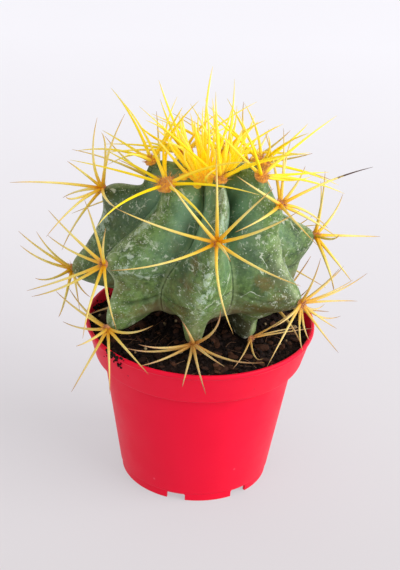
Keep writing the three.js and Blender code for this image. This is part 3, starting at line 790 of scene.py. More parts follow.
def potCutters():
    # A rounded block for each notch of the foot, and a post for each drain hole
    cutters = []
    for i in range(pot["notches"]):
        deselectAll()
        turn = math.radians(pot["notchTurn"] + i * pot["notchSpacing"])
        bpy.ops.mesh.primitive_cube_add(size=1, location=(0, 0, 0))
        cutter = bpy.context.object
        editAll()
        size = (pot["notchWidth"] * mm, pot["notchDepth"] * mm, pot["notchHeight"] * 2 * mm)
        bpy.ops.transform.resize(value=size, center_override=(0, 0, 0))
        bpy.ops.mesh.select_all(action="DESELECT")
        bpy.ops.object.mode_set(mode="OBJECT")
        for edge in cutter.data.edges:
            ends = [cutter.data.vertices[v].co for v in edge.vertices]
            edge.select = all(p.z > 0 for p in ends) and abs(ends[0].y - ends[1].y) > mm
        bpy.ops.object.mode_set(mode="EDIT")
        bpy.ops.mesh.bevel(offset=pot["notchRounding"] * mm, segments=4)
        bpy.ops.object.mode_set(mode="OBJECT")
        cutter.location = (*onCircle(turn, pot["footRadius"] * mm), 0)
        cutter.rotation_euler = (0, 0, turn)
        cutters.append(cutter)
    holes = [onCircle(2 * math.pi * i / pot["holes"], pot["holeRing"]) for i in range(pot["holes"])]
    for x, y in [(0, 0), *holes]:
        deselectAll()
        bpy.ops.mesh.primitive_cylinder_add(
            vertices=36, radius=pot["holeRadius"] * mm, depth=pot["holeDepth"] * mm,
            location=(x * mm, y * mm, pot["floorHeight"] * mm))
        cutters.append(bpy.context.object)
    return joined(cutters, "potCutter")


def makePot():
    shell = turned(withRoundCorners(pot["outline"]), pot["sides"])
    cutter = potCutters()
    applyModifier(shell, "BOOLEAN", operation="DIFFERENCE", object=cutter, solver="EXACT")
    bpy.data.objects.remove(cutter, do_unlink=True)
    applyModifier(shell, "BEVEL", width=pot["edgeRounding"] * mm, segments=2, limit_method="ANGLE",
                  angle_limit=math.radians(42))
    smoothed(shell)
    shell.name = "plasticPot"
    handOver(shell, "pot_plastic", makePotMaterial(), "pot")


makePot()
print("pot ready")


# Spines: millimetres and degrees. The places follow the part's own rule, so each stands where it does there.
spines = {
    "seed": 11,
    "length": 39,
    "base": 0.72,
    "tip": 0.32,
    "lift": 0.03,
    "fanClocks": [0, 45, 69, 111, 178, -109, -68, -43],
    "fanReach": [0.9, 0.86, 1, 1.03, 1.06, 1.05, 1, 0.88],
    "fanSpread": 72,
    "fanJitter": 16,
    "fanSwing": 5,
    "centralClock": 172,
    "centralSpread": 24,
    "centralReach": 0.86,
    "centralJitter": (40, 14),
    "cushionRadius": 3,
    "clearance": 0.32,
    "extraRoom": 0.3,
    "rootShare": 0.12,
    "rimWidth": 3,
    "farthest": 48,
    "tries": 160,
    "searchStep": 0.35,
    "lengthStep": 0.004,
    "lean": (0.9, 8, -12),  # share of the latitude, degrees up, and the lowest lean of an areole
    "lengths": (0.72, 0.33),  # the lowest cluster's share, and what the highest has more
    "cushionSizes": (0.85, 0.15, 0.35),  # the lowest one's share, then what height and the crown add
    "sides": 6,
    "steps": 9,
    "sharpTip": 0.05,
    "collar": 0.1,
}
tuft = {
    "spines": 32,
    "radius": 9,
    "length": 31,
    "lean": 38,
    "shorterAtEdge": 9,
    "leanInMiddle": 4,
    "leanJitter": 18,
    "headingJitter": 50,
    "swing": 7,
    "lift": 3,
    "thickness": 0.92,
    "tallAway": 5,
    "tall": [  # heading, lean, length and swing
        [182, 19, 38.5, 1.7], [228, 36, 37, 1.2], [9, 21, 37, 1.5], [125, 47, 30, 3.9],
    ],
}
samples = 13  # places tested along a spine; every second one ends a segment
segmentStarts = slice(0, samples - 1, 2)
segmentEnds = slice(2, samples + 1, 2)
placedSpines = []
cushions = []


def onCurve(root, middle, tip, t):
    return (1 - t) ** 2 * root + 2 * t * (1 - t) * middle + t ** 2 * tip


def middleOf(spine):
    return (spine["root"] + spine["tip"]) / 2 + spine["bow"] * 2


def samplePoints(spine):
    t = np.arange(samples) / (samples - 1)
    radius = spines["tip"] + (spine["base"] - spines["tip"]) * (1 - t) ** 0.8
    return t, onCurve(spine["root"], middleOf(spine), spine["tip"], t[:, None]), radius


def clearOfRest(t, at, radius):
    room = radius + spines["clearance"]
    more = room + spines["extraRoom"]
    if t > spines["rootShare"] and outsideBody(at) < more:
        return False
    flat = math.hypot(at[0], at[1])
    rim = pot["rimRadius"]
    if flat < rim and at[2] < soilHeight(at[0], at[1]) + more:
        return False
    return flat < rim - spines["rimWidth"] - room or flat > rim + room or at[2] > pot["height"] + room


def segmentDistances(a, b, c, d):
    # Shortest distances between every segment a-b and every segment c-d
    u = (b - a)[:, None, :]
    v = (d - c)[None, :, :]
    w = a[:, None, :] - c[None, :, :]
    uu, uv, vv = (u * u).sum(-1), (u * v).sum(-1), (v * v).sum(-1)
    uw, vw = (u * w).sum(-1), (v * w).sum(-1)
    s = np.clip((uv * vw - vv * uw) / np.maximum(uu * vv - uv * uv, 1e-9), 0, 1)
    t = np.clip((uv * s + vw) / vv, 0, 1)
    s = np.clip((uv * t - uw) / uu, 0, 1)
    return np.linalg.norm(w + u * s[..., None] - v * t[..., None], axis=-1)


def clearOfSpines(points, radii, cluster):
    for owner, centre, radius in cushions:
        if owner != cluster:
            away = np.linalg.norm(points - centre, axis=1)
            if (away < radius + radii + spines["clearance"]).any():
                return False
    near = [s for s in placedSpines
            if s["cluster"] != cluster
            and np.linalg.norm(s["points"][samples // 2] - points[samples // 2]) < spines["farthest"]]
    if not near:
        return True
    starts = np.concatenate([s["points"][segmentStarts] for s in near])
    ends = np.concatenate([s["points"][segmentEnds] for s in near])
    sizes = np.concatenate([s["radii"][segmentStarts] for s in near])
    apart = segmentDistances(points[segmentStarts], points[segmentEnds], starts, ends)
    room = radii[segmentStarts][:, None] + sizes[None, :] + spines["clearance"]
    return not (apart < room).any()


def placeSpine(cluster, wanted, draw):
    # Tries a spine where the rule puts it, then ever further around, until it is clear of the rest
    for attempt in range(spines["tries"]):
        reach = attempt * spines["searchStep"]
        da = jitter(draw, reach)
        ds = jitter(draw, reach)
        dl = jitter(draw, spines["lengthStep"]) * reach
        spine = wanted(da, ds, dl)
        t, points, radii = samplePoints(spine)
        if all(clearOfRest(*one) for one in zip(t, points, radii)) and clearOfSpines(points, radii, cluster):
            placedSpines.append({"cluster": cluster, "points": points, "radii": radii})
            return spine
    return None


def areoleFrame(rib, areole, number):
    lat, radius, azimuth = areole[:3]
    share, risen, lowest = spines["lean"]
    lift = math.radians(max(lat * share + risen, lowest))
    a = math.radians(azimuth)
    out = np.array([*onCircle(a, math.cos(lift)), math.sin(lift)])
    across = np.array([math.cos(a), math.sin(a), 0.0])
    up = -np.cross(across, out)
    if up[2] < 0:
        up = -up
    high = min(max((lat + 45) / 90, 0), 1)
    shortest, longer = spines["lengths"]
    smallest, larger, crowned = spines["cushionSizes"]
    made = {
        "cluster": f"spines_{rib['name']}_{number + 1}",
        "draw": seededRandom(spines["seed"] + 97 * len(cushions)),
        "centre": fromCentre(azimuth, lat, radius) + out * 0.5,
        "out": out,
        "across": across,
        "up": up,
        "lat": lat,
        "length": spines["length"] * (shortest + longer * high),
        "size": spines["cushionRadius"] * (smallest + larger * high + crowned * smoothstep(lat, 42, 60)),
        "known": areole[3] if len(areole) > 3 else None,
    }
    cushions.append((made["cluster"], made["centre"], made["size"]))
    return made


def spineFrom(areole, clock, spread, length, swing):
    # Bowed sideways by its swing, and a little outwards
    c = math.radians(clock)
    s = math.radians(spread)
    sideways = areole["across"] * math.sin(c) + areole["up"] * math.cos(c)
    direction = areole["out"] * math.cos(s) + sideways * math.sin(s)
    bow = (areole["across"] * math.cos(c) - areole["up"] * math.sin(c)) * swing
    return {
        "root": areole["centre"],
        "tip": areole["centre"] + direction * length,
        "bow": bow + areole["out"] * spines["lift"] * length,
        "base": spines["base"],
    }


def fanOfSpines(draw):
    # Radial spines in pairs and one central spine, for an areole whose spines have no places of their own
    fan = []
    for clock, reach in zip(spines["fanClocks"], spines["fanReach"]):
        turn = jitter(draw, spines["fanJitter"])
        spread = spines["fanSpread"] + jitter(draw, spines["fanJitter"])
        long = reach * (0.94 + 0.12 * draw())
        fan.append([clock + turn, spread, long, jitter(draw, spines["fanSwing"])])
    clock = spines["centralClock"] + jitter(draw, spines["centralJitter"][0])
    spread = spines["centralSpread"] + jitter(draw, spines["centralJitter"][1])
    fan.append([clock, spread, spines["centralReach"], 1])
    return fan


def placeAll(cluster, fan, draw, made):
    # A spine for each row of the fan, and none where no clear place is found
    found = [placeSpine(cluster, partial(made, row), draw) for row in fan]
    return [spine for spine in found if spine]


def clusterSpines(areole):
    def made(row, da, ds, dl):
        clock, spread, reach, swing = row
        return spineFrom(areole, clock + da * 1.4, spread + ds, areole["length"] * reach * (1 + dl), swing)
    fan = areole["known"] or fanOfSpines(areole["draw"])
    return placeAll(areole["cluster"], fan, areole["draw"], made)


def tuftSpine(heading, lean, length, rootedAt, swing, lift):
    a = math.radians(heading)
    tilt = math.radians(lean)
    away = np.array([*onCircle(a, 1), 0])
    side = np.array([math.cos(a), math.sin(a), 0])
    root = tuftCentre + away * rootedAt
    tip = root + away * math.sin(tilt) * length + np.array([0, 0, math.cos(tilt) * length])
    base = spines["base"] * tuft["thickness"]
    return {"root": root, "tip": tip, "bow": side * swing + away * lift, "base": base}


def tuftSpines():
    # Young spines stand up from the wool in the middle of the crown, leaning out towards its edge
    draw = seededRandom(spines["seed"] + 5)
    fan = [[*tall[:3], tuft["tallAway"], tall[3], 0] for tall in tuft["tall"]]
    for i in range(len(fan), tuft["spines"]):
        share = math.sqrt((i + 0.5) / tuft["spines"])
        heading = i * goldenTurn + jitter(draw, tuft["headingJitter"])
        lean = tuft["leanInMiddle"] + tuft["lean"] * share + jitter(draw, tuft["leanJitter"])
        length = (tuft["length"] - tuft["shorterAtEdge"] * share) * (0.78 + 0.28 * draw())
        swing = jitter(draw, tuft["swing"])
        lift = (draw() - 0.4) * tuft["lift"]
        fan.append([heading, lean, length, tuft["radius"] * share * 0.8, swing, lift])

    def made(row, da, ds, dl):
        heading, lean, length, rootedAt, swing, lift = row
        return tuftSpine(heading + da * 2, lean + ds, length * (1 + dl), rootedAt, swing, lift)
    return placeAll("crown_tuft", fan, draw, made)


areoles = [areoleFrame(rib, areole, i) for rib in ribs for i, areole in enumerate(rib["areoles"])]
tuftCentre = np.array([0, 0, body["centreHeight"] + body["crownRadius"] + 0.6])
cushions.append(("crown_tuft", tuftCentre, tuft["radius"] + 1))
for areole in sorted(areoles, key=lambda a: a["centre"][1]):  # the nearest to the front go first
    areole["spines"] = clusterSpines(areole)
tuftPlaced = tuftSpines()
print("places for", len(placedSpines), "spines found")


# Body: the ribbed skin, finer than the CAD solid but on the same curves, and the corky neck under it
skinLooks = {
    "ribWidth": 40,
    "degreeLength": 0.77,
    "darkGreen": linear(36, 60, 28),
    "midGreen": linear(84, 118, 56),
    "brightGreen": linear(140, 172, 96),
    "tealGreen": linear(124, 168, 134),
    "bloomGreen": linear(134, 150, 100),
    "crestPale": linear(172, 190, 138),
    "paleWearAndHighlight": linear(182, 202, 182),
    "olive": linear(104, 88, 40),
    "cork": linear(116, 98, 72),
    "furrowShade": linear(30, 44, 24),
    "footShade": linear(46, 36, 24),
    "flake": linear(220, 228, 208),
    "creaseShade": linear(36, 46, 26),
    "roughness": 0.5,
    "tuck": [  # azimuth and latitude of the fold where the skin turns in over the soil
        [-180, -14], [-80, -16], [-50, -17], [-20, -17], [-6, -13], [30, -9], [50, -8.5], [90, -12],
        [180, -14],
    ],
    "tuckDepth": 1.1,
    "tuckWidth": 1.3,
    "wrinkles": 0.16,
    "crevice": 3.2,
    "bellyAzimuth": -32,
    "belly": 1.2,
    "stains": [  # each mark is its azimuth, latitude, width and height in degrees
        [-5, 19, 4, 9], [-8, 4, 6, 9], [-13, -18, 8, 7], [41, 0, 6, 5], [46, -7, 6, 4], [-51, -9, 4, 4],
        [-42, -22, 9, 3], [44, -17, 13, 8], [95, -20, 8, 5], [150, -12, 9, 8], [204, -8, 9, 12],
        [250, -6, 8, 7],
    ],
    # Pale worn skin, and painted highlights on the flanks that face the light
    "wornAndLitPatches": [
        [2.5, 13, 3, 8], [1, -4, 3.5, 11], [-46, 12, 3, 5], [-38, 2, 4, 3], [17, 54, 3, 9], [15, 40, 4, 7],
        [4, 3, 3, 4], [-47, 5, 4, 3], [62, 6, 3, 12], [-56, 30, 4, 9], [108, 20, 4, 9], [158, 10, 4, 12],
        [212, 24, 4, 9], [262, 10, 4, 9],
    ],
    # Mostly painted shade: beside the furrows, on the left rib turned from the light, and under the lobes
    "shadePatches": [
        [-17, 42, 5, 10], [-20, 18, 5, 12], [-13, 10, 6, 13], [44, -18, 14, 8], [48, 3, 8, 12],
        [38, -2, 6, 10], [36, 22, 8, 13], [30, 40, 7, 14], [29, 14, 6, 14], [34, 58, 5, 6],
        [-90, 24, 16, 28], [-84, -6, 12, 16], [80, -22, 12, 6], [140, 14, 7, 16], [190, -16, 12, 8],
        [240, 20, 8, 18],
    ],
}
neck = {
    "radius": 7,
    "outline": [[9.6, 66.5], [8.8, 69], [7.6, 72], [7, 75], [7.4, 79], [8.5, 83], [6, 86], [2, 87]],
    "sides": 48,
    "rough": 0.5,
    "dark": linear(58, 38, 28),
    "light": linear(124, 92, 66),
}


def markStrength(marks, azimuths, lats):
    # How strongly each place of the skin shows one of the marks [azimuth, latitude, width, height]
    strength = np.zeros(len(lats))
    for azimuth, lat, width, height in marks:
        sideways = ((azimuths - azimuth + 180) % 360 - 180) * np.cos(np.radians(lats))
        strength = np.maximum(strength, np.exp(-(sideways / width) ** 2 - ((lats - lat) / height) ** 2))
    return strength


def areoleNearness(rib, lat):
    # 1 at an areole of a rib, falling to 0 a few millimetres along the crest
    length = skinLooks["degreeLength"]
    return max(math.exp(-((lat - areole[0]) * length / 4.5) ** 2) for areole in rib["areoles"])


def makeSkinMaterial():
    look = skinLooks
    material, tree, shader, place = newMaterial("cactusSkin", {
        "Specular IOR Level": 0.28, "Subsurface Weight": 0.05, "Subsurface Scale": 0.0015,
        "Subsurface Radius": (0.4, 1.0, 0.25)})
    times = partial(calculate, tree, "MULTIPLY")
    plus = partial(calculate, tree, "ADD")
    larger = partial(calculate, tree, "MAXIMUM")
    over = partial(blendColours, tree)
    span = partial(between, tree)
    noiseAt = partial(noiseValue, tree, place)
    own = attributeOf(tree, "skinPlace", "Vector")
    parts = addNode(tree, "ShaderNodeSeparateXYZ", {"Vector": own})
    across, along, way = parts.outputs["X"], parts.outputs["Y"], parts.outputs["Z"]

    # Flesh: dark and bright patches under a pale grain, a lighter teal on the upper flanks that is partly
    # younger skin and partly painted light from above, greyer low down
    base, patches = mottle(tree, place, 46.0, 0.13, look["darkGreen"], look["midGreen"])
    fine = mottle(tree, place, 300.0, 0.16, look["darkGreen"], look["brightGreen"])[0]
    base = over(0.42, base, fine)
    base = over(span(noiseAt(640.0, 6.0, 0.75), 0.5, 0.64, 0.0, 0.42), base, look["brightGreen"])
    older = plus(span(along, 2.0, -30.0), span(noiseAt(60.0), 0.4, 0.62, -0.6, 0.4), clamp=True)
    base = over(times(older, 0.6), base, look["bloomGreen"])
    # Partly painted light: the upper flanks lighter and bluer, as lit from above, and partly younger skin
    youngAndLit = times(span(along, -2.0, 34.0), span(way, 0.25, 0.6))
    base = over(times(youngAndLit, 0.7), base, look["tealGreen"])

    # Painted shade in the furrows, on the shade patches and on the foot right of the front rib, and olive and
    # brown stains where the skin has aged. Across grows by 40 a rib: the front rib lies from 100 to 140, and
    # the flank to the right of it from there to 160.
    front = times(span(across, 96.0, 101.0), span(across, 144.0, 139.0))
    deep = times(span(way, 0.76, 0.97), span(front, 0.0, 1.0, 0.6, 0.15))
    dark = larger(deep, times(attributeOf(tree, "dark"), 0.6))
    base = over(dark, base, look["furrowShade"])
    stains = noiseAt(62.0, 5.0, 0.65, 0.5)
    stained = times(span(stains, 0.54, 0.66), span(along, 22.0, -12.0))
    grimy = span(noiseAt(190.0, 7.0, 0.75, 0.5), 0.4, 0.6, -0.6, 0.2)
    marked = plus(attributeOf(tree, "stain"), grimy)
    stained = larger(times(stained, 0.5), times(span(marked, 0.0, 0.9), 0.75))
    base = over(stained, base, look["olive"])
    corky = times(span(along, -14.0, -20.0), span(way, 0.35, 0.8))
    base = over(times(corky, 0.7), base, look["cork"])
    # Painted shadow on the foot to the right of the front rib
    rightOfFront = times(span(across, 140.0, 144.0), span(across, 161.0, 157.0))
    shaded = times(rightOfFront, span(along, -26.0, -31.0))
    base = over(times(shaded, 0.85), base, look["footShade"])

    # Pale worn crests, pale worn patches with painted highlights on flanks that face the light, and a thin
    # line of painted shade in the crease where two flanks meet and in the tuck
    rubbed = times(span(way, 0.17, 0.02), span(noiseAt(170.0, 6.0, 0.7), 0.4, 0.6, 0.0, 0.66))
    base = over(rubbed, base, look["crestPale"])
    # Pale wear and scale, with painted highlights where the listed patches lie on lit flanks
    scuffed = span(noiseAt(410.0, 8.0, 0.74, 0.4), 0.45, 0.57, -1.0, 0.2)
    worn = plus(attributeOf(tree, "worn"), scuffed)
    base = over(times(span(worn, 0.1, 0.6), 0.6), base, look["paleWearAndHighlight"])
    besideCrease = times(span(way, 0.9, 0.955), span(way, 0.985, 0.965))
    base = over(times(besideCrease, 0.25), base, look["crestPale"])
    # Painted shade: a thin dark line in the crease between two flanks and in the tuck over the soil
    creaseShade = larger(span(way, 0.978, 0.995), attributeOf(tree, "tuck"))
    shown = span(noiseAt(95.0, 3.0), 0.4, 0.6, 0.25, 0.62)
    base = over(times(creaseShade, shown), base, look["creaseShade"])

    # Scale: flakes in drifts, the thin outlines of others, and specks that thicken towards the crest
    rough = noiseAt(270.0, 8.0, 0.7, 0.4)
    flakes = times(span(rough, 0.585, 0.63), span(noiseAt(74.0, 3.0), 0.48, 0.56))
    contour = calculate(tree, "SUBTRACT", noiseAt(105.0, 4.0, 0.55, 0.5), 0.5)
    contour = calculate(tree, "ABSOLUTE", contour)
    outlines = times(span(contour, 0.017, 0.006), span(rough, 0.47, 0.53))
    outlines = times(outlines, span(noiseAt(52.0, 3.0), 0.48, 0.53))
    flecks = specks(tree, place, 900.0, 0.3, 0.34)
    crowded = times(specks(tree, place, 1300.0, 0.4, 0.9), span(way, 0.5, 0.05))
    dots = times(larger(times(flecks, 0.8), crowded), span(stains, 0.34, 0.5))
    marks = larger(times(larger(flakes, outlines), 0.8), dots)
    base = over(times(marks, 0.7), base, look["flake"])
    tree.links.new(base, shader.inputs["Base Color"])
    gloss = span(patches, 0.0, 1.0, look["roughness"] - 0.06, look["roughness"] + 0.1)
    tree.links.new(plus(gloss, times(marks, 0.2)), shader.inputs["Roughness"])

    folds = addNode(tree, "ShaderNodeMapping", {"Vector": own, "Scale": (0.12, 0.9, 0)}).outputs["Vector"]
    relief = times(noiseAt(420.0, 5.0, 0.6), 0.4)
    relief = plus(relief, times(noiseValue(tree, folds, 0.5, 4.0, 0.6, 0.4), 0.6))
    relief = plus(relief, times(marks, 0.15))
    addBump(tree, shader, relief, 0.0006, 0.7)
    return material


def skinDetail(spot, azimuth, lat, way, tuck):
    # Wrinkles, the tuck over the soil, the narrow crevice high up and the belly of the foot at the front
    fine = noise.fractal(Vector((spot[0] * 0.3, spot[1] * 0.3, spot[2] * 0.8)), 1.0, 2.0, 3)
    height = fine * skinLooks["wrinkles"] - skinLooks["tuckDepth"] * tuck
    upper = smoothstep(lat, 14, 40) * smoothstep(-lat, -84, -70)
    height -= skinLooks["crevice"] * upper * smoothstep(way, 0.76, 1) ** 1.5
    sideways = (azimuth - skinLooks["bellyAzimuth"] + 180) % 360 - 180
    bellied = math.exp(-((lat + 36) / 10) ** 2 - (sideways / 12) ** 2)
    return height + skinLooks["belly"] * bellied * smoothstep(way, 0.25, 0.8)


def cornerPlaces(mesh, own):
    # The skin places of the face corners, with no jump inside a face where the last rib meets the first
    corners = np.empty(len(mesh.loops), dtype=int)
    mesh.loops.foreach_get("vertex_index", corners)
    ownCorners = own[corners]
    whole = skinLooks["ribWidth"] * len(ribs)
    for polygon in mesh.polygons:
        around = ownCorners[polygon.loop_start:polygon.loop_start + polygon.loop_total, 0]
        if around.max() - around.min() > whole / 2:
            around[around < whole / 2] += whole
    return ownCorners


def makeSkin():
    tuckLine = throughPoints(skinLooks["tuck"])
    perRib = body["columnsPerRib"]
    half = perRib / 2
    columns = perRib * len(ribs)
    rows = body["rows"]
    deselectAll()
    bpy.ops.mesh.primitive_uv_sphere_add(segments=columns, ring_count=rows, radius=1)
    skin = bpy.context.object
    mesh = skin.data
    points = places(mesh)
    lats = np.degrees(np.arcsin(np.clip(points[:, 2], -1, 1)))
    turns = np.degrees(np.arctan2(points[:, 0], -points[:, 1])) % 360
    rowOf = np.rint((90 - lats) / 180 * rows).astype(int)
    columnOf = np.rint(turns / 360 * columns).astype(int) % columns
    rooms = [[roomAfter(i, 90 - 180 * row / rows) for i in range(len(ribs))] for row in range(rows + 1)]
    own = np.zeros((len(points), 3))
    tucks = np.zeros(len(points))
    azimuths = np.zeros(len(points))
    for i in range(len(points)):
        row, column = rowOf[i], columnOf[i]
        lat = 90 - 180 * row / rows
        index, along = divmod(int(column), perRib)
        a, b, start, gap, furrowAt = rooms[row][index]
        before = along <= half
        way = ((along if before else perRib - along) / half) ** 1.4
        azimuth = start + furrowAt * way if before else start + gap - (gap - furrowAt) * way
        azimuths[i] = azimuth
        owner = index if before else (index + 1) % len(ribs)
        rib = ribs[owner]
        near = areoleNearness(rib, lat)
        waver = body["crestWaver"] * noise.noise(Vector((lat * 0.16, owner * 7.3, 1.5))) * (1 - near)
        crest = (a if before else b)["radius"](lat) + waver
        radius = skinRadius(crest, way, lat, body["crestRounding"] + body["areoleRounding"] * near)
        spot = fromCentre(azimuth, lat, radius)
        lump = noise.noise(Vector(spot) * 0.09) * body["lumps"]
        tuckAt = tuckLine((azimuth + 180) % 360 - 180) + 3 * noise.noise(Vector(spot) * 0.07)
        tucks[i] = smoothstep(way, 0.08, 0.3) * smoothstep(1 - way, 0, 0.2)
        tucks[i] *= math.exp(-((lat - tuckAt) / skinLooks["tuckWidth"]) ** 2)
        detail = lump + skinDetail(spot, azimuth, lat, way, tucks[i])
        points[i] = fromCentre(azimuth, lat, radius + detail * min(way * 4 + 0.35, 1))
        place = (owner + 3) % len(ribs)
        side = 1 if before else -1
        own[i] = (skinLooks["ribWidth"] * (place + side * way / 2), lat * skinLooks["degreeLength"], way)
    for i in np.flatnonzero((rowOf == 0) | (rowOf == rows)):
        lat = 90 if rowOf[i] == 0 else -90
        points[i] = (0, 0, body["centreHeight"] + math.copysign(bodyRadius(0, lat), lat))
        own[i] = (0, lat * skinLooks["degreeLength"], 1)
    setPlaces(mesh, points * mm)
    setAttribute(mesh, "skinPlace", cornerPlaces(mesh, own), "FLOAT_VECTOR", "CORNER")
    setAttribute(mesh, "tuck", tucks)
    for name, marks in (("stain", "stains"), ("worn", "wornAndLitPatches"), ("dark", "shadePatches")):
        setAttribute(mesh, name, markStrength(skinLooks[marks], azimuths, lats))
    smoothed(skin, 60)
    skin.name = "ribbedSkin"
    handOver(skin, "green_skin", makeSkinMaterial(), "cactus_body")


def makeNeck():
    piece = turned(neck["outline"], neck["sides"])
    applyModifier(piece, "SUBSURF", levels=2, render_levels=2)
    points = places(piece.data) / mm
    for i, point in enumerate(points):
        ridges = noise.noise(Vector((point[0] * 0.5, point[1] * 0.5, point[2] * 0.12)))
        grow = 1 + (ridges + 0.5 * noise.noise(Vector(point) * 1.1)) * neck["rough"] / neck["radius"]
        points[i] = (point[0] * grow, point[1] * grow, point[2])
    setPlaces(piece.data, points * mm)
    smoothed(piece, 60)
    material, tree, shader, place = newMaterial("corkyNeck", {"Roughness": 0.85})
    grain = addNode(tree, "ShaderNodeMapping", {"Vector": place, "Scale": (1, 1, 0.3)}).outputs["Vector"]
    colour, patches = mottle(tree, grain, 420.0, 0.2, neck["dark"], neck["light"])
    tree.links.new(colour, shader.inputs["Base Color"])
    addBump(tree, shader, patches, 0.0006, 0.8)
    piece.name = "corkyNeck"
    handOver(piece, "green_skin", material)


makeSkin()
makeNeck()
print("body ready")


# Soil: the bed, and what lies loose on it
soilLooks = {
    "dark": linear(18, 12, 11),
    "brown": linear(44, 30, 26),
    "light": linear(92, 68, 52),
    "chipDark": linear(36, 20, 15),
    "chipLight": linear(104, 66, 46),
    "fibre": linear(156, 116, 90),
    "grit": linear(212, 192, 146),
}

# What lies loose on the soil, the rim and the wall: sizes in millimetres, tilt in radians
loose = {
    "soilCrumbs": {"count": 900, "sizes": (0.7, 1.9), "shades": (0, 1), "tilt": 3, "lift": 0.2, "seed": 5},
    "barkChips": {"count": 190, "sizes": (1.2, 3.4), "shades": (0, 0.9), "tilt": 0.5, "lift": 0.1, "seed": 6},
    "paleGrit": {"count": 26, "sizes": (0.8, 1.7), "shades": (0.3, 1), "tilt": 3, "lift": 0.25, "seed": 7},
    "rimCrumbs": {"count": 46, "sizes": (0.4, 1.2), "shades": (0, 0.6), "tilt": 3, "lift": 0.1, "seed": 9},
    "wallCrumbs": {"count": 90, "sizes": (0.5, 1.5), "shades": (0, 0.8), "tilt": 3, "lift": 0, "seed": 9},
}

# Where it lies: millimetres, and an azimuth with its spread where it was spilt or thrown up
looseReach = {
    "ground": 41.3,
    "roomAtNeck": 10,
    "roomAtSkin": 0.5,
    "rimDrop": 5.5,
    "spilt": (-46, 5),
    "wallRise": 3.6,
    "wallSlope": 0.3,
    "thrownUp": (-96, 17),
}
fibres = {
    "count": 130,
    "reach": 40,
    "lengths": (4, 13),
    "radii": (0.07, 0.2),
    "bow": 2,
    "heights": (0.15, 1.1, 0.15),
    "roomAtSkin": 0.6,
    "sides": 4,
    "steps": 5,
    "seed": 8,
}


def soilGrain(x, y):
    clods = noise.noise(Vector((x, y, 0)) * 0.5) * 0.6 + abs(noise.noise(Vector((x, y, 3)) * 1.2))
    return soil["grain"] * (clods + 0.4 * noise.noise(Vector((x, y, 7)) * 2.4) - 0.2)


def soilTop(x, y):
    return soilHeight(x, y) + soilGrain(x, y)


def makeSoilMaterial():
    material, tree, shader, place = newMaterial("pottingMix", {"Roughness": 0.95, "Specular IOR Level": 0.15})
    base = mottle(tree, place, 160.0, 0.14, soilLooks["dark"], soilLooks["brown"])[0]
    crumbs = addNode(tree, "ShaderNodeTexVoronoi", {"Vector": place, "Scale": 700.0})
    lot = addNode(tree, "ShaderNodeSeparateColor", {"Color": crumbs.outputs["Color"]}).outputs["Red"]
    pale = between(tree, lot, 0.82, 0.95)
    colour = blendColours(tree, calculate(tree, "MULTIPLY", pale, 0.45), base, soilLooks["light"])
    tree.links.new(colour, shader.inputs["Base Color"])
    relief = calculate(tree, "SUBTRACT", noiseValue(tree, place, 900.0, 5.0, 0.7), crumbs.outputs["Distance"])
    addBump(tree, shader, relief, 0.0012, 1.0)
    return material


def makeSoilBed():
    wall = soil["wallHeight"] - 1
    top = soil["wallRadius"] - soil["wallGap"]
    outline = [[28.6, 5.5], [35.1, 52], [39.8, 54.2], [top, wall]]
    outline += [[top * (1 - (i + 0.5) / soil["rings"]), wall] for i in range(soil["rings"])]
    bed = turned(outline, soil["sides"])
    points = places(bed.data) / mm
    for i, (x, y, z) in enumerate(points):
        if z > wall - 0.01:
            points[i, 2] = soilTop(x, y)
    setPlaces(bed.data, points * mm)
    smoothed(bed, 75)
    bed.name = "soilBed"
    return bed


def groundSpot(draw):
    # A place on free ground between the ribs
    away = looseReach["ground"] * math.sqrt(draw.random())
    x, y = onCircle(draw.uniform(0, 2 * math.pi), away)
    spot = (x, y, soilTop(x, y))
    free = away >= looseReach["roomAtNeck"] and outsideBody(spot) >= looseReach["roomAtSkin"]
    return spot if free else None


def rimSpot(draw):
    # A place on the rim or on the slope under it, where some soil was spilt at the front left
    turn = math.radians(draw.gauss(*looseReach["spilt"]))
    z = pot["height"] - looseReach["rimDrop"] * draw.random() ** 1.6
    bandRadius, bandHeight = pot["bandTop"]
    away = bandRadius - (bandHeight - min(z, bandHeight)) * pot["bandSlope"]
    return (*onCircle(turn, pot["rimRadius"] if z > pot["rimEdgeHeight"] else away), z)


def wallSpot(draw):
    # A place on the inside of the wall at the left, where soil still sticks over the bed
    turn = math.radians(draw.gauss(*looseReach["thrownUp"]))
    z = soil["wallHeight"] + looseReach["wallRise"] * draw.random() ** 1.8
    away = soil["wallRadius"] - soil["wallGap"] + looseReach["wallSlope"] * (z - soil["wallHeight"])
    return (*onCircle(turn, away), z)


def looseBits(name, unit, material, findSpot=groundSpot):
    # Copies of one bit, each turned, sized and shaded by a seeded draw
    kind = loose[name]
    draw = random.Random(kind["seed"])
    shape = places(unit.data)
    copies = []
    while len(copies) < kind["count"]:
        spot = findSpot(draw)
        if not spot:
            continue
        size = draw.uniform(*kind["sizes"]) * (1 if draw.random() < 0.8 else 1.5)
        twin = copyOf(unit)
        tilt = Matrix.Rotation(draw.uniform(-kind["tilt"], kind["tilt"]), 3, "X")
        tilt = tilt @ Matrix.Rotation(draw.uniform(-kind["tilt"], kind["tilt"]), 3, "Y")
        turnTo = np.array(Matrix.Rotation(draw.uniform(0, 6.3), 3, "Z") @ tilt)
        jitter = 1 + np.array([[draw.uniform(-0.2, 0.2) for _ in range(3)] for _ in shape])
        points = (shape * jitter * size) @ turnTo.T + spot + (0, 0, kind["lift"] * size)
        setPlaces(twin.data, points * mm)
        setAttribute(twin.data, "shade", np.full(len(points), draw.uniform(*kind["shades"])))
        copies.append(twin)
    bpy.data.objects.remove(unit, do_unlink=True)
    handOver(joined(copies, name), "potting_mix", material)


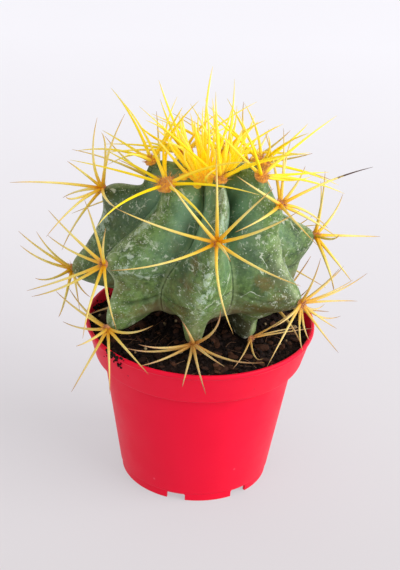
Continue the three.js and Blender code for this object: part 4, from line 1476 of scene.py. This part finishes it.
def makeBitsMaterial(name, first, second):
    material, tree, shader, place = newMaterial(name, {"Roughness": 0.9, "Specular IOR Level": 0.2})
    colour = blendColours(tree, attributeOf(tree, "shade"), first, second)
    grain = noiseValue(tree, place, 600.0, 5.0, 0.7)
    darker = blendColours(tree, between(tree, grain, 0.35, 0.65, 0.5, 0.0), colour, first)
    tree.links.new(darker, shader.inputs["Base Color"])
    addBump(tree, shader, grain, 0.0004, 0.8)
    return material


def makeCrumb():
    deselectAll()
    bpy.ops.mesh.primitive_ico_sphere_add(subdivisions=1, radius=0.5)
    return bpy.context.object


def makeChip():
    deselectAll()
    bpy.ops.mesh.primitive_cube_add(size=1)
    chip = bpy.context.object
    editAll()
    bpy.ops.transform.resize(value=(1, 0.5, 0.18), center_override=(0, 0, 0))
    bpy.ops.mesh.subdivide(number_cuts=1, smoothness=0.6)
    bpy.ops.object.mode_set(mode="OBJECT")
    return chip


handOver(makeSoilBed(), "potting_mix", makeSoilMaterial(), "soil")
crumbMaterial = makeBitsMaterial("soilCrumbs", soilLooks["dark"], soilLooks["brown"])
chipMaterial = makeBitsMaterial("barkChips", soilLooks["chipDark"], soilLooks["chipLight"])
gritMaterial = makeBitsMaterial("paleGrit", soilLooks["chipLight"], soilLooks["grit"])
looseBits("soilCrumbs", makeCrumb(), crumbMaterial)
looseBits("barkChips", makeChip(), chipMaterial)
looseBits("paleGrit", makeCrumb(), gritMaterial)
looseBits("rimCrumbs", makeCrumb(), crumbMaterial, rimSpot)
looseBits("wallCrumbs", makeCrumb(), crumbMaterial, wallSpot)
print("soil ready")


# One straight spine, a unit long and wide, bent along each spine's own curve

def makeUnitSpine(sides, steps):
    deselectAll()
    bpy.ops.mesh.primitive_circle_add(vertices=sides, radius=1, fill_type="NGON")
    unit = bpy.context.object
    editAll()
    for _ in range(steps):
        bpy.ops.mesh.extrude_region_move(TRANSFORM_OT_translate={"value": (0, 0, 1 / steps)})
    bpy.ops.mesh.select_all(action="SELECT")
    bpy.ops.mesh.normals_make_consistent(inside=False)
    bpy.ops.object.mode_set(mode="OBJECT")
    bpy.ops.object.shade_smooth()
    return unit


def bent(unit, root, middle, tip, radiusAt, tone, shade):
    # A copy of the unit spine along a curve from root to tip, with its own radius at each place
    twin = copyOf(unit)
    shape = places(unit.data)
    t = shape[:, 2:3]
    centre = onCurve(root, middle, tip, t)
    tangent = 2 * (1 - t) * (middle - root) + 2 * t * (tip - middle)
    tangent /= np.linalg.norm(tangent, axis=1, keepdims=True)
    side = np.column_stack([-tangent[:, 1], tangent[:, 0], np.zeros(len(t))])
    short = np.linalg.norm(side, axis=1) < 0.01
    side[short] = (1, 0, 0)
    side /= np.linalg.norm(side, axis=1, keepdims=True)
    other = np.cross(tangent, side)
    r = radiusAt(t)
    points = centre + side * shape[:, 0:1] * r - other * shape[:, 1:2] * r
    setPlaces(twin.data, points * mm)
    length = float(np.linalg.norm(tip - root))
    setAttribute(twin.data, "along", t)
    setAttribute(twin.data, "reach", t * length)
    setAttribute(twin.data, "tone", np.full(len(t), tone))
    setAttribute(twin.data, "shade", np.full(len(t), shade))
    return twin


def makeFibres(unit):
    draw = random.Random(fibres["seed"])
    copies = []
    while len(copies) < fibres["count"]:
        away = fibres["reach"] * math.sqrt(draw.random())
        startX, startY = onCircle(draw.uniform(0, 2 * math.pi), away)
        heading = draw.uniform(0, 2 * math.pi)
        long = draw.uniform(*fibres["lengths"])
        radius = draw.uniform(*fibres["radii"])
        ends = []
        for share, height in zip((-0.5, 0.05, 0.5), fibres["heights"]):
            bow = draw.uniform(-fibres["bow"], fibres["bow"])
            x = startX + math.cos(heading) * long * share - math.sin(heading) * bow
            y = startY + math.sin(heading) * long * share + math.cos(heading) * bow
            ends.append(np.array([x, y, soilTop(x, y) + height]))
        clear = [math.hypot(*e[:2]) <= fibres["reach"] + 1 and outsideBody(e) >= fibres["roomAtSkin"]
                 for e in ends]
        if not all(clear):
            continue
        copies.append(bent(unit, *ends, lambda t: radius * (1.1 - t * 0.6), 0, draw.random()))
    material = makeBitsMaterial("rootFibres", soilLooks["chipDark"], soilLooks["fibre"])
    handOver(joined(copies, "rootFibres"), "potting_mix", material)


# Spines and felt of every areole; colours run from the root to the tip, old ones first
spineLooks = {
    "old": [
        (0, (186, 116, 42)), (0.2, (200, 154, 80)), (0.5, (208, 178, 116)), (0.75, (190, 150, 108)),
        (1, (118, 78, 56)),
    ],
    "middle": [
        (0, (220, 142, 2)), (0.1, (230, 174, 18)), (0.28, (230, 200, 78)), (0.55, (230, 212, 128)),
        (0.82, (214, 184, 104)), (1, (152, 104, 64)),
    ],
    "young": [
        (0, (248, 196, 0)), (0.1, (251, 212, 0)), (0.5, (252, 220, 14)), (0.8, (248, 222, 80)),
        (1, (232, 200, 124)),
    ],
    # The spines and felt glow a little: painted light that lifts them out of shade and stands in for light
    # through thin horn
    "paintedGlow": 0.13,
    "tuftPaintedGlow": 0.26,
    "pale": linear(255, 236, 160),
    "wornTip": linear(70, 46, 34),
    "wornSpine": ("spines_front_right_2", 4),
    "ownTone": {"spines_front_right_3": 0.22, "spines_front_right_4": 0},
    "slimmer": {"spines_front_right_3": 0.84, "spines_front_right_4": 0.62},
    "ringSpacing": 0.7,
    "roughness": 0.42,
}
felt = {
    "young": linear(250, 178, 40),
    "old": linear(216, 154, 100),
    "shadow": linear(196, 108, 30),
    "woolShadow": linear(240, 166, 10),
    "wool": linear(255, 216, 40),
    "hairs": 120,
    "hairLength": (1.0, 2.4),
    "hairRadius": 0.09,
    "hairSides": 3,
    "hairSteps": 2,
    "lowSize": 0.66,
    "ownSize": {"spines_front_1": 0.62, "spines_front_right_1": 0.7, "spines_left_1": 0.6,
                "spines_front_right_4": 0.5, "spines_front_left_1": 0.92},
    "lumps": 0.14,
    "seed": 21,
}


def makeSpineMaterial(name, paintedGlow):
    look = spineLooks
    material, tree, shader, place = newMaterial(name, {
        "Specular IOR Level": 0.2, "Subsurface Weight": 0.3, "Subsurface Scale": 0.001,
        "Subsurface Radius": (1.0, 0.7, 0.2), "Emission Strength": paintedGlow})
    times = partial(calculate, tree, "MULTIPLY")
    plus = partial(calculate, tree, "ADD")
    over = partial(blendColours, tree)
    span = partial(between, tree)
    noiseAt = partial(noiseValue, tree, place)
    along = attributeOf(tree, "along")
    tone = attributeOf(tree, "tone")
    shade = attributeOf(tree, "shade")
    stops = [[(at, linear(*colour)) for at, colour in look[age]] for age in ("old", "middle", "young")]
    colours = [ramp(tree, along, row) for row in stops]
    lower = over(span(tone, 0.0, 0.5), colours[0], colours[1])
    base = over(span(tone, 0.5, 1.0), lower, colours[2])
    streaks = noiseAt(260.0, 4.0, 0.6)
    share = span(tone, 0.5, 1.0, 0.35, 0.08)
    aged = times(span(streaks, 0.5, 0.75), share)
    base = over(aged, base, colours[0])
    paler = times(span(shade, 0.4, 1.0), 0.15)
    base = over(paler, base, look["pale"])
    frayed = plus(attributeOf(tree, "worn"), times(streaks, 0.5))
    base = over(span(frayed, 0.82, 0.9), base, look["wornTip"])
    tree.links.new(base, shader.inputs["Base Color"])
    # Painted light: the spine glows in its own colour
    tree.links.new(base, shader.inputs["Emission Color"])
    reach = attributeOf(tree, "reach")
    wobble = times(noiseAt(500.0), 0.5)
    turns = plus(reach, wobble)
    turns = times(turns, 2 * math.pi / look["ringSpacing"])
    rings = span(calculate(tree, "SINE", turns), -1.0, 1.0)
    gloss = span(rings, 0.0, 1.0, look["roughness"], look["roughness"] + 0.15)
    tree.links.new(gloss, shader.inputs["Roughness"])
    relief = plus(times(rings, 0.6), streaks)
    addBump(tree, shader, relief, 0.0002, 0.6)
    return material


def makeFeltMaterial(name, young, shadow, paintedGlow):
    material, tree, shader, place = newMaterial(name, {
        "Roughness": 0.95, "Emission Strength": paintedGlow, "Sheen Weight": 0.4, "Sheen Roughness": 0.5})
    colour = blendColours(tree, attributeOf(tree, "tone"), felt["old"], young)
    mixed = mottle(tree, place, 900.0, 0.18, shadow, colour)[0]
    tree.links.new(mixed, shader.inputs["Base Color"])
    # Painted light: the felt glows in its own colour
    tree.links.new(mixed, shader.inputs["Emission Color"])
    addBump(tree, shader, noiseValue(tree, place, 2200.0, 4.0, 0.7), 0.0005, 1.0)
    return material


def feltPad(unit, centre, size, out, across, up, tone, count, draw, flatness=0.62):
    # A lumpy cushion with short hairs standing out of it
    deselectAll()
    bpy.ops.mesh.primitive_ico_sphere_add(subdivisions=4, radius=1)
    pad = bpy.context.object
    points = places(pad.data)
    grown = [1 + felt["lumps"] * noise.fractal(Vector(p * 1.8 + centre), 0.8, 2.2, 3) for p in points]
    points = points * np.array(grown)[:, None] * (size, size, size * flatness)
    axes = np.array([across, up, out])
    setPlaces(pad.data, (points @ axes + centre) * mm)
    for key, value in (("along", 0), ("reach", 0), ("tone", tone), ("shade", 0.5)):
        setAttribute(pad.data, key, np.full(len(points), value))
    bpy.ops.object.shade_smooth()
    pieces = [pad]
    for _ in range(count):
        turn = draw.uniform(0, 2 * math.pi)
        rise = math.sqrt(draw.random())
        level = math.sqrt(1 - rise ** 2)
        sideways = (across * math.cos(turn) + up * math.sin(turn)) * level
        normal = sideways + out * rise
        root = centre + (sideways + out * rise * flatness) * size * 0.93
        long = draw.uniform(*felt["hairLength"]) * size / 3
        sway = np.array([draw.uniform(-1, 1) for _ in range(3)]) * long * 0.5
        tip = root + normal * long + sway
        middle = root + normal * long * 0.6
        pieces.append(bent(unit, root, middle, tip, lambda t: felt["hairRadius"] * (1 - 0.75 * t), tone, 0.5))
    return pieces


def bentSpine(unit, spine, tone, shade, thickness=1, fullness=0.75):
    length = np.linalg.norm(spine["tip"] - spine["root"])

    def radiusAt(t):
        taper = spines["sharpTip"] + (spine["base"] - spines["sharpTip"]) * (1 - t) ** fullness
        return thickness * taper * (1 + spines["collar"] * np.exp(-(t * length / 3.5) ** 2))
    return bent(unit, spine["root"], middleOf(spine), spine["tip"], radiusAt, tone, shade)


def makeAreoles(unitSpine, unitHair, spineMaterial, feltMaterial):
    draw = random.Random(felt["seed"])
    for areole in areoles:
        tone = 0.5 * smoothstep(areole["lat"], -48, -16) + 0.5 * smoothstep(areole["lat"], 40, 58)
        tone = spineLooks["ownTone"].get(areole["cluster"], tone)
        thickness = spineLooks["slimmer"].get(areole["cluster"], 1)
        blades = [bentSpine(unitSpine, spine, tone, draw.random(), thickness) for spine in areole["spines"]]
        if areole["cluster"] == spineLooks["wornSpine"][0]:
            blade = blades[spineLooks["wornSpine"][1]].data
            setAttribute(blade, "worn", places(unitSpine.data)[:, 2])
        cluster = joined(blades, areole["cluster"] + "_fine")
        handOver(cluster, "spine", spineMaterial, areole["cluster"])
        usual = felt["lowSize"] + (0.9 - felt["lowSize"]) * smoothstep(areole["lat"], 45, 58)
        size = areole["size"] * felt["ownSize"].get(areole["cluster"], usual)
        pieces = feltPad(unitHair, areole["centre"], size, areole["out"], areole["across"],
                         areole["up"], smoothstep(areole["lat"], 30, 57), felt["hairs"], draw)
        pad = joined(pieces, areole["cluster"].replace("spines", "felt"))
        handOver(pad, "spine", feltMaterial)


# Crown: the wool in the middle and in the tops of the furrows, and the dense tuft of young spines
crown = {
    "woolRadius": 7.6,
    "woolHeight": 2.6,
    "woolHairs": 220,
    "lumps": 7,
    "lumpRadius": 2.1,
    "lumpSpread": 6.6,
    "lumpHairs": 50,
    "wedgeHairs": 60,
    "wedges": [[12, 76, 2.2], [9, 71, 1.5], [-24, 74, 1.6], [-60, 72, 1.6]],
    "middle": (3.6, -2.4, 1),
    "spread": 5.5,
    "extraSpines": 16,
    "extraLength": (13, 26),
    "extraLean": (6, 54),
    "extraBase": 0.78,
    "fullness": 0.5,
    "clumps": 5,
    "seed": 33,
}


def makeCrown(unitSpine, unitHair, spineMaterial, feltMaterial):
    draw = random.Random(crown["seed"])
    axes = (np.array([0, 0, 1.0]), np.array([1.0, 0, 0]), np.array([0, 1.0, 0]))
    flatness = crown["woolHeight"] / crown["woolRadius"]
    pieces = feltPad(unitHair, tuftCentre, crown["woolRadius"], *axes, 1, crown["woolHairs"], draw, flatness)
    for i in range(crown["lumps"]):
        away = crown["lumpSpread"] * math.sqrt((i + 0.4) / crown["lumps"])
        x, y = onCircle(math.radians(i * goldenTurn), away)
        spot = tuftCentre + (x, y, crown["woolHeight"] - away * 0.15)
        pieces += feltPad(unitHair, spot, crown["lumpRadius"], *axes, 1, crown["lumpHairs"], draw, 0.8)
    for azimuth, lat, size in crown["wedges"]:
        spot = fromCentre(azimuth, lat, bodyRadius(azimuth, lat))
        pieces += feltPad(unitHair, spot, size, *axes, 1, crown["wedgeHairs"], draw, 0.8)
    handOver(joined(pieces, "crownWool"), "young_spine", feltMaterial)
    blades = [bentSpine(unitSpine, spine, 1, draw.random(), 1, crown["fullness"]) for spine in tuftPlaced]
    for i in range(crown["extraSpines"]):
        turn = math.radians(i % crown["clumps"] * 360 / crown["clumps"] + draw.uniform(-14, 14))
        away = crown["spread"] * math.sqrt((i + 0.5) / crown["extraSpines"])
        lean = math.radians(draw.uniform(*crown["extraLean"]))
        heading = turn + math.radians(draw.uniform(-110, 110))
        direction = np.array([*onCircle(heading, math.sin(lean)), math.cos(lean)])
        root = tuftCentre + (np.array([*onCircle(turn, away), 0]) + crown["middle"])
        tip = root + direction * draw.uniform(*crown["extraLength"])
        bow = np.array([draw.uniform(-3, 3), draw.uniform(-3, 3), draw.uniform(-1, 3)])
        spine = {"root": root, "tip": tip, "bow": bow, "base": crown["extraBase"] * draw.uniform(0.8, 1.2)}
        blades.append(bentSpine(unitSpine, spine, 1, draw.random(), 1, crown["fullness"]))
    handOver(joined(blades, "crown_tuft_fine"), "young_spine", spineMaterial, "crown_tuft")


unitSpine = makeUnitSpine(spines["sides"], spines["steps"])
unitHair = makeUnitSpine(felt["hairSides"], felt["hairSteps"])
unitFibre = makeUnitSpine(fibres["sides"], fibres["steps"])
makeFibres(unitFibre)
spineMaterial = makeSpineMaterial("hornSpine", spineLooks["paintedGlow"])
tuftMaterial = makeSpineMaterial("youngSpine", spineLooks["tuftPaintedGlow"])
feltMaterial = makeFeltMaterial("areoleFelt", felt["young"], felt["shadow"], spineLooks["paintedGlow"])
woolMaterial = makeFeltMaterial("crownWool", felt["wool"], felt["woolShadow"], spineLooks["tuftPaintedGlow"])
makeAreoles(unitSpine, unitHair, spineMaterial, feltMaterial)
makeCrown(unitSpine, unitHair, tuftMaterial, woolMaterial)
for unit in (unitSpine, unitHair, unitFibre):
    bpy.data.objects.remove(unit, do_unlink=True)
print("spines and felt ready")
